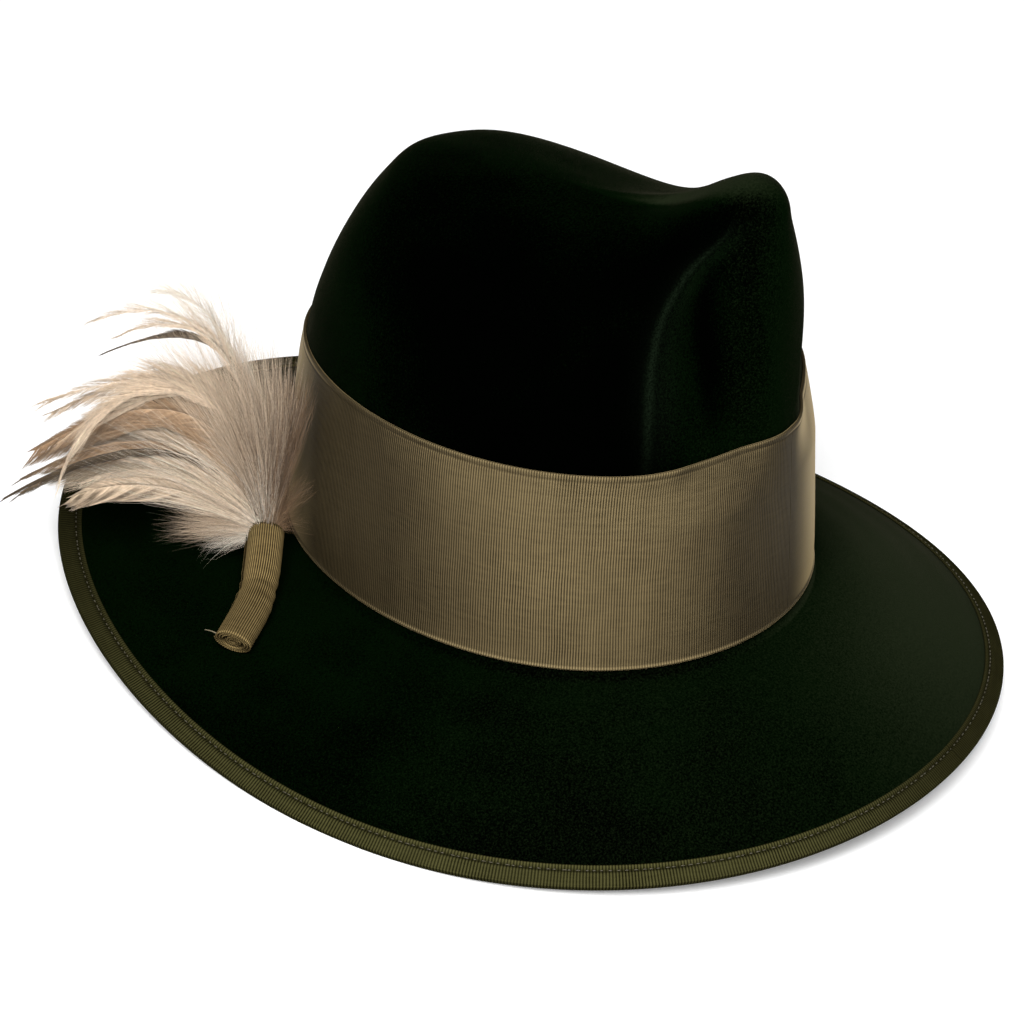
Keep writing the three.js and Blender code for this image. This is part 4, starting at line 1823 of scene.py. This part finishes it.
def catmull(knots: list[Array], share: Array) -> Array:
    """The middle stretch of a centripetal Catmull-Rom curve through four points, by mixing them
    pair by pair three times.

    Args:
        knots: The four points.
        share: From 0 at the second to 1 at the third.

    Returns:
        Points of the curve.
    """
    gaps = [np.linalg.norm(knots[k + 1] - knots[k]) ** 0.5 for k in range(3)]
    t0, t1, t2, t3 = 0.0, gaps[0], gaps[0] + gaps[1], sum(gaps)
    t = (t1 + (t2 - t1) * share)[:, None]
    a1 = knots[0] * (t1 - t) / (t1 - t0) + knots[1] * (t - t0) / (t1 - t0)
    a2 = knots[1] * (t2 - t) / (t2 - t1) + knots[2] * (t - t1) / (t2 - t1)
    a3 = knots[2] * (t3 - t) / (t3 - t2) + knots[3] * (t - t2) / (t3 - t2)
    b1 = a1 * (t2 - t) / (t2 - t0) + a2 * (t - t0) / (t2 - t0)
    b2 = a2 * (t3 - t) / (t3 - t1) + a3 * (t - t1) / (t3 - t1)
    return b1 * (t2 - t) / (t2 - t1) + b2 * (t - t1) / (t2 - t1)


class Tone(Enum):
    """Colours of the feathers."""

    WHITE = (0.88, 0.76, 0.63)
    CREAM = (0.78, 0.62, 0.46)
    BEIGE = (0.56, 0.43, 0.305)
    TAN = (0.43, 0.285, 0.17)
    BROWN = (0.19, 0.115, 0.06)
    OLIVE = (0.056, 0.037, 0.019)
    DRAB = (0.32, 0.25, 0.17)

    @property
    def colour(self) -> Array:
        """The colour as an array."""
        return np.array(self.value)


@dataclass(frozen=True)
class Feather:
    """One feather: a cubic curve in the plume's plane for its shaft, and barbs on both sides.

    Places are shares of the plume's length, out from the crown and up. lean is how far the tip
    comes out of the plane. upper and lower are the barbs' lengths on the two sides, angle is
    theirs to the shaft, curl bends them towards the tip, and loose spreads them. shades are the
    colours next to the shaft, over the vane and at the feather's tip, and core is the share of
    a barb that keeps the first.
    """

    first: tuple[float, float]
    second: tuple[float, float]
    tip: tuple[float, float]
    lean: float
    upper: float
    lower: float
    shades: tuple[Tone, Tone, Tone]
    angle: float = 26.0
    curl: float = 0.25
    loose: float = 0.2
    barbs: int = 300
    width: float = 0.2 * MM
    bare: float = 0.2
    bars: float = 0.0
    shaft: float = 0.4 * MM
    core: float = 0.0


HIGH_FEATHERS = (
    Feather((-0.09, 0.36), (0.2, 1.14), (0.72, 0.78), -0.1, 0.2, 0.08, (Tone.WHITE, Tone.WHITE, Tone.BEIGE),
            angle=24.0, loose=0.4, barbs=420, width=0.09 * MM, bare=0.32, shaft=0.3 * MM),
    Feather((0.0, 0.5), (0.26, 1.06), (0.50, 0.90), -0.16, 0.22, 0.12, (Tone.WHITE, Tone.WHITE, Tone.WHITE),
            angle=30.0, loose=0.5, barbs=300, width=0.07 * MM, bare=0.3, shaft=0.16 * MM),
    Feather((0.05, 0.56), (0.15, 1.03), (0.68, 0.64), -0.1, 0.08, 0.08, (Tone.OLIVE, Tone.OLIVE, Tone.OLIVE),
            angle=19.0, loose=0.08, barbs=560, width=0.22 * MM, bare=0.34),
    Feather((0.06, 0.5), (0.2, 1.08), (0.63, 0.75), -0.05, 0.14, 0.1, (Tone.WHITE, Tone.CREAM, Tone.BEIGE),
            angle=22.0, loose=0.35, barbs=360, width=0.1 * MM, bare=0.3, shaft=0.2 * MM),
    Feather((0.06, 0.24), (0.07, 0.93), (0.89, 0.42), -0.06, 0.2, 0.2, (Tone.CREAM, Tone.CREAM, Tone.BEIGE),
            angle=28.0, loose=0.35, barbs=520, width=0.14 * MM, bare=0.16, shaft=0.35 * MM),
)
MIDDLE_FEATHERS = (
    Feather((0.07, 0.45), (0.2, 0.88), (0.86, 0.34), -0.12, 0.16, 0.24, (Tone.BEIGE, Tone.CREAM, Tone.BEIGE),
            angle=28.0, loose=0.28, barbs=560, width=0.16 * MM, bare=0.16),
    Feather((0.08, 0.56), (0.34, 0.83), (0.82, 0.26), -0.04, 0.1, 0.26, (Tone.CREAM, Tone.CREAM, Tone.TAN),
            angle=26.0, loose=0.22, barbs=620, width=0.17 * MM, bare=0.2),
    Feather((0.08, 0.73), (0.66, 0.81), (0.79, 0.21), 0.14, 0.12, 0.22, (Tone.CREAM, Tone.CREAM, Tone.CREAM),
            angle=17.0, loose=0.3, barbs=520, width=0.13 * MM, bare=0.26, shaft=0.3 * MM),
    Feather((0.1, 0.34), (0.3, 0.76), (0.91, 0.21), -0.05, 0.14, 0.34, (Tone.TAN, Tone.TAN, Tone.BROWN),
            angle=38.0, curl=0.1, loose=0.1, barbs=900, width=0.22 * MM, bare=0.1, core=0.02),
    Feather((0.1, 0.3), (0.3, 0.62), (0.84, 0.24), -0.12, 0.08, 0.36, (Tone.TAN, Tone.BEIGE, Tone.BEIGE),
            angle=38.0, curl=0.12, loose=0.12, barbs=820, width=0.22 * MM, bare=0.08),
    Feather((0.14, 0.3), (0.38, 0.56), (0.9, 0.12), -0.16, 0.12, 0.3, (Tone.TAN, Tone.BEIGE, Tone.TAN),
            angle=34.0, curl=0.12, loose=0.12, barbs=700, width=0.22 * MM, bare=0.08),
)
LOW_FEATHERS = (
    Feather((0.24, 0.44), (0.60, 0.38), (1.0, 0.07), 0.08, 0.03, 0.13, (Tone.OLIVE, Tone.OLIVE, Tone.OLIVE),
            angle=19.0, curl=0.12, loose=0.06, barbs=860, width=0.22 * MM, bare=0.1),
    Feather((0.2, 0.4), (0.56, 0.42), (0.95, 0.1), -0.02, 0.05, 0.2, (Tone.BROWN, Tone.TAN, Tone.OLIVE),
            angle=26.0, loose=0.14, barbs=520, width=0.2 * MM, bare=0.2, core=0.1),
    Feather((0.06, 0.18), (0.42, 0.47), (0.95, 0.03), -0.03, 0.12, 0.22, (Tone.TAN, Tone.DRAB, Tone.OLIVE),
            angle=26.0, loose=0.2, barbs=600, width=0.18 * MM, bare=0.14),
    Feather((0.21, 0.27), (0.60, 0.27), (0.83, 0.13), -0.04, 0.16, 0.24, (Tone.BEIGE, Tone.CREAM, Tone.WHITE),
            angle=30.0, loose=0.3, barbs=760, width=0.17 * MM, bare=0.12),
    Feather((0.30, 0.18), (0.56, 0.2), (0.74, 0.12), 0.1, 0.08, 0.2, (Tone.BEIGE, Tone.BEIGE, Tone.DRAB),
            angle=42.0, curl=0.3, loose=0.0, barbs=820, width=0.3 * MM, bare=0.14, bars=9.0),
)
FEATHERS = HIGH_FEATHERS + MIDDLE_FEATHERS + LOW_FEATHERS


@dataclass(frozen=True)
class Tuft:
    """Loose fibres from the root: a fan of headings in degrees from upright, outwards.

    reach gives the shortest and longest as shares of the plume's length, spread is how far they
    lean out of the plane, curl is how much they curve outwards, and frizz how much they waver.
    """

    heading: tuple[float, float]
    reach: tuple[float, float]
    spread: float
    count: int
    curl: float
    frizz: float
    shades: tuple[Tone, Tone]
    width: float = 0.16 * MM


UPRIGHT_TUFTS = (
    Tuft((-9.0, 18.0), (0.42, 0.84), 0.24, 2300, 0.1, 0.014, (Tone.WHITE, Tone.BEIGE), 0.15 * MM),
    Tuft((-13.0, 0.0), (0.26, 0.74), 0.26, 1500, 0.05, 0.018, (Tone.TAN, Tone.BROWN), 0.18 * MM),
    Tuft((-12.0, 14.0), (0.3, 0.8), 0.26, 1100, 0.1, 0.014, (Tone.BEIGE, Tone.BROWN), 0.15 * MM),
    Tuft((-9.0, 14.0), (0.2, 0.46), 0.24, 800, 0.1, 0.014, (Tone.WHITE, Tone.WHITE), 0.16 * MM),
    Tuft((-5.0, 26.0), (0.84, 1.18), 0.2, 1200, 0.22, 0.03, (Tone.BROWN, Tone.CREAM), 0.075 * MM),
)
LOOSE_TUFTS = (
    Tuft((12.0, 70.0), (0.2, 0.55), 0.18, 1500, 0.25, 0.03, (Tone.WHITE, Tone.CREAM), 0.15 * MM),
    Tuft((34.0, 72.0), (0.5, 0.86), 0.16, 420, 0.24, 0.05, (Tone.CREAM, Tone.WHITE), 0.08 * MM),
    Tuft((68.0, 98.0), (0.1, 0.34), 0.2, 900, 0.3, 0.08, (Tone.WHITE, Tone.BEIGE), 0.11 * MM),
    Tuft((86.0, 122.0), (0.08, 0.28), 0.2, 620, 0.1, 0.13, (Tone.WHITE, Tone.WHITE), 0.09 * MM),
    Tuft((-5.0, 46.0), (0.28, 0.62), 0.1, 90, 0.5, 0.004, (Tone.WHITE, Tone.WHITE), 0.42 * MM),
    Tuft((-70.0, -20.0), (0.04, 0.16), 0.2, 260, -0.4, 0.16, (Tone.TAN, Tone.BROWN), 0.08 * MM),
    Tuft((-34.0, -9.0), (0.08, 0.34), 0.2, 420, -0.1, 0.1, (Tone.TAN, Tone.BROWN), 0.1 * MM),
)


def even_noise(rng: np.random.Generator, count: int, knots: int) -> Array:
    """Noise that changes slowly from one to the next, with a little that doesn't."""
    slow = np.interp(np.linspace(0.0, knots - 1.0, count), np.arange(knots), rng.normal(0.0, 1.0, knots))
    return slow * 0.8 + rng.normal(0.0, 0.35, count)


@dataclass
class Plume:
    """The feathers and the loose fibres that stand in the rolled ribbon."""

    stem: RolledStem
    length: float = 96.0 * MM
    heading: float = 28.0
    root_rise: float = 0.5 * MM
    root_radius: float = 1.7 * MM
    finish: FeatherFinish = field(default_factory=lambda: FeatherFinish("feather_barbs"))
    shaft_finish: FeatherFinish = field(
        default_factory=lambda: FeatherFinish("feather_shafts", rough=0.4, sheen=0.05)
    )
    seed: int = 5
    barb_steps: int = 5
    fibre_steps: int = 6
    shaft_steps: int = 48
    barb_least: float = 1.5 * MM
    last_barb: float = 0.995
    sag: float = 0.16
    sway: float = 0.14
    taper: float = 0.8
    tip_share: float = 0.85
    bar_share: float = 0.85
    barb_jitter: tuple[float, float] = (1.06, 0.2)
    fibre_jitter: tuple[float, float, float] = (1.2, 0.7, 0.12)
    darkest: float = 0.01
    palest: float = 0.95

    def axes(self) -> tuple[Array, Array, Array, Array]:
        """The root, and the directions out from the crown, up, and out of the plume's plane.

        Returns:
            A point and three vectors of length 1.
        """
        path = self.stem.line(60)
        along = unit(path[-1] - path[-3])
        turn = math.radians(self.heading)
        out = np.array([-math.sin(turn), math.cos(turn), 0.0])
        viewer = np.array([-out[1], out[0], 0.0])
        return path[-1] + along * self.root_rise, out, np.array([0.0, 0.0, 1.0]), viewer

    def spine(self, feather: Feather, share: Array) -> Array:
        """A feather's shaft: a cubic curve from the root, leaning out of the plane as s squared.

        Args:
            feather: The feather.
            share: From 0 at the root to 1 at the tip.

        Returns:
            Points of the shaft.
        """
        root, out, up, viewer = self.axes()
        rng = np.random.default_rng(self.seed + FEATHERS.index(feather))
        start = rng.uniform(-1.0, 1.0, 2) * self.root_radius
        flat = np.array([(0.0, 0.0), feather.first, feather.second, feather.tip]) * self.length
        s = share[:, None]
        weights = ((1 - s) ** 3, 3 * s * (1 - s) ** 2, 3 * s * s * (1 - s), s**3)
        plane = sum(w * p for w, p in zip(weights, flat))
        lean = feather.lean * self.length * s**2
        shift = out * start[0] + viewer * start[1]
        fade = (1.0 - s) ** 2
        return root + shift * fade + out * plane[:, :1] + up * plane[:, 1:] + viewer * lean

    def barbs(self, mesh: PieceMesh, feather: Feather, side: float, rng: np.random.Generator) -> None:
        """Adds the barbs of one side: p = base + reach (way s + curl s^2 + sag s^2), wavering.

        Args:
            mesh: Where they go.
            feather: The feather.
            side: 1 for the upper side, -1 for the lower.
            rng: Source of the small differences between them.
        """
        count, steps = feather.barbs, self.barb_steps
        _, _, _, viewer = self.axes()
        fine = np.linspace(0.0, 1.0, 400)
        spine = self.spine(feather, fine)
        along = unit(np.gradient(spine, axis=0))
        share = feather.bare + (self.last_barb - feather.bare) * np.linspace(0.0, 1.0, count)
        share = np.clip(share + rng.normal(0.0, 0.4 / count, count), 0.0, 1.0)
        base = read_line(share, fine, spine)
        tangent = unit(read_line(share, fine, along))
        across = unit(np.cross(tangent, viewer)) * side
        up = unit(np.cross(tangent, across)) * side
        full = feather.upper if side > 0 else feather.lower
        outline = 0.3 + 0.7 * smooth(feather.bare, feather.bare + 0.25, share)
        outline = outline * (1.0 - 0.7 * smooth(0.62, 1.0, share))
        loose = feather.loose
        uneven = 1.0 + even_noise(rng, count, 40) * (0.05 + loose * 0.5)
        reach = full * self.length * outline * uneven
        reach = np.clip(reach, self.barb_least, None)[:, None, None]
        angle = np.radians(feather.angle * (1.0 + even_noise(rng, count, 40) * loose))
        angle = angle * (1.0 - 0.4 * smooth(0.75, 1.0, share))
        tilt = (even_noise(rng, count, 24) * (0.04 + loose * 0.3))[:, None]
        way = tangent * np.cos(angle)[:, None] + across * np.sin(angle)[:, None] + up * tilt
        s = np.linspace(0.0, 1.0, steps)[None, :, None]
        curl = (tangent * feather.curl - across * feather.curl * 0.6)[:, None]
        sag = np.array([0.0, 0.0, -1.0]) * self.sag * (0.3 + loose)
        wobble = np.sin(s * rng.uniform(2.0, 6.0, (count, 1, 1)) + rng.uniform(0, 6.3, (count, 1, 1)))
        sway = up[:, None] * rng.normal(0, 1, (count, 1, 1))
        sway = sway + across[:, None] * rng.normal(0, 1, (count, 1, 1))
        path = base[:, None] + reach * (way[:, None] * s + curl * s**2 + sag * s**2)
        path = path + sway * wobble * s * reach * self.sway * loose
        shade = self.shade(feather, side, share[:, None], s[..., 0], rng)
        thin = 1.0 - self.taper * s[..., 0] ** 1.5
        width = feather.width * thin * (0.8 + 0.4 * rng.random((count, 1)))
        add_needles(mesh, path, width / 2, across, shade)

    def shade(
        self, feather: Feather, side: float, share: Array, s: Array, rng: np.random.Generator
    ) -> Array:
        """Colour along the barbs: the shaft's shade, then the vane's, the tip's at the end, and
        dark bars where a sine along the shaft and the barbs is high.

        Args:
            feather: The feather.
            side: 1 for the upper side, -1 for the lower.
            share: Place of each barb along the shaft.
            s: Place along the barbs.
            rng: Source of the small differences between them.

        Returns:
            Colours, one to a point of a barb.
        """
        inner, outer, tip = (tone.colour for tone in feather.shades)
        mix = smooth(feather.core, feather.core + 0.35, s)[..., None]
        colour = inner * (1 - mix) + outer * mix
        end = (smooth(0.72, 1.0, share) * self.tip_share)[..., None]
        colour = colour * (1 - end) + tip * end
        if feather.bars and side < 0:
            wave = np.abs(np.sin(share * feather.bars * np.pi + s * 2.0))
            spot = smooth(0.55, 0.9, wave) * smooth(0.1, 0.3, s) * smooth(0.95, 0.6, s)
            bar = (spot * smooth(0.2, 0.4, share) * self.bar_share)[..., None]
            colour = colour * (1 - bar) + Tone.OLIVE.colour * bar
        level, range_ = self.barb_jitter
        jitter = level + even_noise(rng, len(share), 90)[:, None, None] * range_
        return np.clip(colour * jitter, self.darkest, self.palest)

    def fibres(self, mesh: PieceMesh, tuft: Tuft, rng: np.random.Generator) -> None:
        """Adds a tuft's loose fibres, each on a curve p = root + reach (way s + curl s^2 + frizz).

        Args:
            mesh: Where they go.
            tuft: The tuft.
            rng: Source of the small differences between them.
        """
        root, out, up, viewer = self.axes()
        count, steps = tuft.count, self.fibre_steps
        heading = np.radians(rng.uniform(*tuft.heading, count))
        way = np.cos(heading)[:, None] * up + np.sin(heading)[:, None] * out
        flank = np.cos(heading)[:, None] * out - np.sin(heading)[:, None] * up
        way = unit(way + rng.normal(0.0, tuft.spread / 2, count)[:, None] * viewer)
        reach = rng.uniform(*tuft.reach, count)[:, None, None] * self.length
        spot = rng.normal(0.0, 0.6, (2, count, 1)) * self.root_radius
        start = root + out * spot[0] + viewer * spot[1]
        s = np.linspace(0.0, 1.0, steps)[None, :, None]
        bend = out * tuft.curl * rng.uniform(0.2, 1.3, (count, 1)) - up * abs(tuft.curl) * 0.45
        phase = rng.uniform(0, 6.3, (2, count, 1, 1))
        speed = rng.uniform(3.0, 8.0, (count, 1, 1))
        frizz = flank[:, None] * np.sin(s * speed + phase[0])
        frizz = frizz + viewer * np.sin(s * speed * 0.8 + phase[1])
        reached = way[:, None] * s + bend[:, None] * s**2 + frizz * s * tuft.frizz
        path = start[:, None] + reach * reached
        low, high = (tone.colour for tone in tuft.shades)
        mix = smooth(0.05, 0.6, s)
        level, dark, range_ = self.fibre_jitter
        jitter = level - dark * rng.random((count, 1, 1)) ** 2 + rng.normal(0.0, range_, (count, 1, 1))
        colour = np.clip((low * (1 - mix) + high * mix) * jitter, self.darkest, self.palest)
        width = tuft.width * (1.0 - self.taper * s[..., 0]) * (0.7 + 0.6 * rng.random((count, 1)))
        add_needles(mesh, path, width / 2, flank, colour)

    def build(self) -> list[bpy.types.Object]:
        """Every feather's barbs and shaft, and the loose fibres.

        Returns:
            The finished pieces.
        """
        rng = np.random.default_rng(self.seed)
        material = self.finish.build()
        pieces = []
        groups = {"high": HIGH_FEATHERS, "middle": MIDDLE_FEATHERS, "low": LOW_FEATHERS}
        for name, group in groups.items():
            mesh = PieceMesh()
            for feather in group:
                for side in (1.0, -1.0):
                    self.barbs(mesh, feather, side, rng)
            pieces.append(mesh.build(f"plume_{name}_feathers", material, "feather", ("plume",)))
        for name, tufts in (("upright", UPRIGHT_TUFTS), ("loose", LOOSE_TUFTS)):
            mesh = PieceMesh()
            for tuft in tufts:
                self.fibres(mesh, tuft, rng)
            pieces.append(mesh.build(f"plume_{name}_down", material, "feather", ("plume",)))
        pieces.append(self.shafts())
        return pieces

    def shafts(self) -> bpy.types.Object:
        """The feathers' shafts, round and tapered, pale at the root.

        Returns:
            The finished piece.
        """
        _, _, _, viewer = self.axes()
        mesh = PieceMesh()
        share = np.linspace(-0.04, 1.0, self.shaft_steps)
        for feather in FEATHERS:
            path = self.spine(feather, share)
            radius = feather.shaft * (1.0 - 0.9 * np.clip(share, 0, 1) ** 0.7)
            mix = (smooth(0.15, 0.6, share) * 0.95)[:, None]
            tint = (Tone.WHITE.colour * (1 - mix) + feather.shades[0].colour * mix)[None]
            add_tubes(mesh, path[None], radius[None], viewer[None], 8, tint=tint)
        return mesh.build("plume_shafts", self.shaft_finish.build(), "feather", ("plume",))


def add_needles(mesh: PieceMesh, paths: Array, half: Array, side: Array, colour: Array) -> None:
    """Adds barbs: flat three-cornered bodies, p = middle +- flat w or + thick w / 2, that end in
    a point.

    Args:
        mesh: Where they go.
        paths: Points along each barb.
        half: Half its width at each point.
        side: For each barb, a direction that isn't along it.
        colour: Colour at each point.
    """
    count, steps = paths.shape[:2]
    along = unit(np.gradient(paths, axis=1))
    thick = unit(np.cross(along, side[:, None, :]))
    flat = unit(np.cross(thick, along))
    rings = steps - 1
    body = slice(0, rings)
    middle = paths[:, body]
    width = half[:, body, None]
    flank = flat[:, body] * width
    ridge = thick[:, body] * width * 0.5
    corners = np.stack([middle - flank, middle + flank, middle + ridge], 2)
    points = np.concatenate([corners.reshape(count, -1, 3), paths[:, -1:]], 1)
    size = rings * 3 + 1
    row, col = np.meshgrid(np.arange(rings - 1), np.arange(3), indexing="ij")
    nxt = (col + 1) % 3
    low = row * 3
    high = low + 3
    quad = np.stack([low + col, low + nxt, high + nxt, high + col], -1).reshape(-1, 4)
    last = (rings - 1) * 3
    tip = np.array([[last + k, last + (k + 1) % 3, size - 1] for k in range(3)])
    cap = np.array([[0, 2, 1]])
    base = np.arange(count)[:, None, None] * size
    faces = [((base + f[None]).reshape(-1, f.shape[1]), None) for f in (quad, tip, cap)]
    flat_points = points.reshape(-1, 3)
    first = [(f[: len(f) // count], p) for f, p in faces]
    if volume_sign(flat_points[:size], first) < 0.0:
        faces = [(f[:, ::-1], p) for f, p in faces]
    tint = np.concatenate([np.repeat(colour[:, body], 3, axis=1), colour[:, -1:]], 1)
    mesh.add(flat_points, faces, tint=tint.reshape(-1, 3))


@dataclass(frozen=True)
class Lamp:
    """A soft square light: its heading from the front, its height angle, distance, size, power."""

    name: str
    heading: float
    elevation: float
    distance: float
    size: float
    power: float


@dataclass
class Studio:
    """Floor, lights and camera."""

    form: HatForm
    heading: float = -61.86
    elevation: float = 30.25
    roll: float = 2.15
    distance: float = 1744.6 * MM
    focal_pixels: float = 4679.0
    centre_pixel: tuple[float, float] = (542.77, 537.18)
    picture: float = 1024.0
    sensor: float = 36.0
    floor_size: float = 8.0
    floor_dark: Colour = (0.86, 0.86, 0.86)
    floor_pale: Colour = (0.88, 0.88, 0.88)
    mottle_scale: float = 3.0
    floor_rough: float = 0.9
    floor_gloss: float = 0.1
    world_light: float = 0.06
    floor_glow: float = 0.22
    lamps: tuple[Lamp, ...] = (
        Lamp("key", -71.0, 44.0, 1.7, 0.8, 50.0),
        Lamp("right_rim", 54.0, 30.0, 1.6, 0.7, 7.0),
        Lamp("overhead", 20.0, 84.0, 1.9, 1.4, 8.0),
    )

    def floor(self) -> bpy.types.Object:
        """A plain pale floor, faintly mottled.

        Returns:
            The floor, one square.
        """
        nodes = Nodes("pale_floor")
        mottle = nodes.noise(nodes.place(), self.mottle_scale, 2.0)
        material = nodes.finish(
            {
                "Base Color": nodes.mix(mottle, self.floor_dark, self.floor_pale),
                "Roughness": self.floor_rough,
                "Specular IOR Level": self.floor_gloss,
                "Emission Color": (1.0, 1.0, 1.0, 1.0),
                "Emission Strength": self.floor_glow,
            }
        )
        half = self.floor_size / 2
        mesh = bpy.data.meshes.new("floor")
        corners = [(-half, -half, 0.0), (half, -half, 0.0), (half, half, 0.0), (-half, half, 0.0)]
        mesh.from_pydata(corners, [], [(0, 1, 2, 3)])
        mesh.materials.append(material)
        floor = bpy.data.objects.new("floor", mesh)
        bpy.context.scene.collection.objects.link(floor)
        return floor

    def light(self) -> None:
        """Soft square lights round the hat, and an even pale surround."""
        world = bpy.data.worlds.new("surround")
        world.use_nodes = True
        background = world.node_tree.nodes["Background"]
        background.inputs[0].default_value = (1.0, 1.0, 1.0, 1.0)
        background.inputs[1].default_value = self.world_light
        bpy.context.scene.world = world
        middle = Vector((0.0, 0.0, self.form.crown_height / 2))
        for lamp in self.lamps:
            way = Vector(heading_vector(lamp.heading, lamp.elevation))
            data = bpy.data.lights.new(lamp.name, "AREA")
            data.energy, data.size = lamp.power, lamp.size
            light = bpy.data.objects.new(lamp.name, data)
            light.location = middle + way * lamp.distance
            light.rotation_euler = way.to_track_quat("Z", "Y").to_euler()
            bpy.context.scene.collection.objects.link(light)

    def camera(self) -> bpy.types.Object:
        """The camera at the photograph's angle to the hat, turned with it to the way it rests.

        Returns:
            The camera, looking at the hat.
        """
        turn, roll = math.radians(self.heading), math.radians(self.roll)
        level = np.array([math.cos(turn), math.sin(turn), 0.0])
        back = heading_vector(self.heading, self.elevation)
        upright = np.cross(back, level)
        right = math.cos(roll) * level + math.sin(roll) * upright
        up = math.cos(roll) * upright - math.sin(roll) * level
        data = bpy.data.cameras.new("camera")
        data.sensor_width = self.sensor
        data.lens = self.focal_pixels / self.picture * self.sensor
        data.shift_x = 0.5 - self.centre_pixel[0] / self.picture
        data.shift_y = self.centre_pixel[1] / self.picture - 0.5
        camera = bpy.data.objects.new("camera", data)
        axes = self.form.turned(np.stack([right, up, back]))
        matrix = Matrix.Identity(4)
        for index, axis in enumerate(axes):
            matrix.col[index] = (*axis, 0.0)
        place = self.form.turned(back * self.distance) + self.form.rest_shift()
        matrix.translation = Vector(place)
        camera.matrix_world = matrix
        bpy.context.scene.collection.objects.link(camera)
        bpy.context.scene.camera = camera
        return camera


def main() -> None:
    """Builds the hat piece by piece, then the studio round it."""
    form = HatForm()
    FeltShell(form).build()
    HatBand(form).build()
    binding = BrimBinding(form)
    binding.build()
    binding.stitches()
    stem = RolledStem(form)
    stem.build()
    stem.build_core()
    stem.loose_thread()
    Plume(stem).build()
    studio = Studio(form)
    studio.floor()
    studio.light()
    studio.camera()
    bpy.context.scene.view_settings.view_transform = "Standard"


if __name__ == "__main__":
    logging.basicConfig(level=logging.INFO, format="%(name)s: %(message)s")
    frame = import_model()
    log.info("dressing %d nodes", len(frame["nodes"]))
    main()
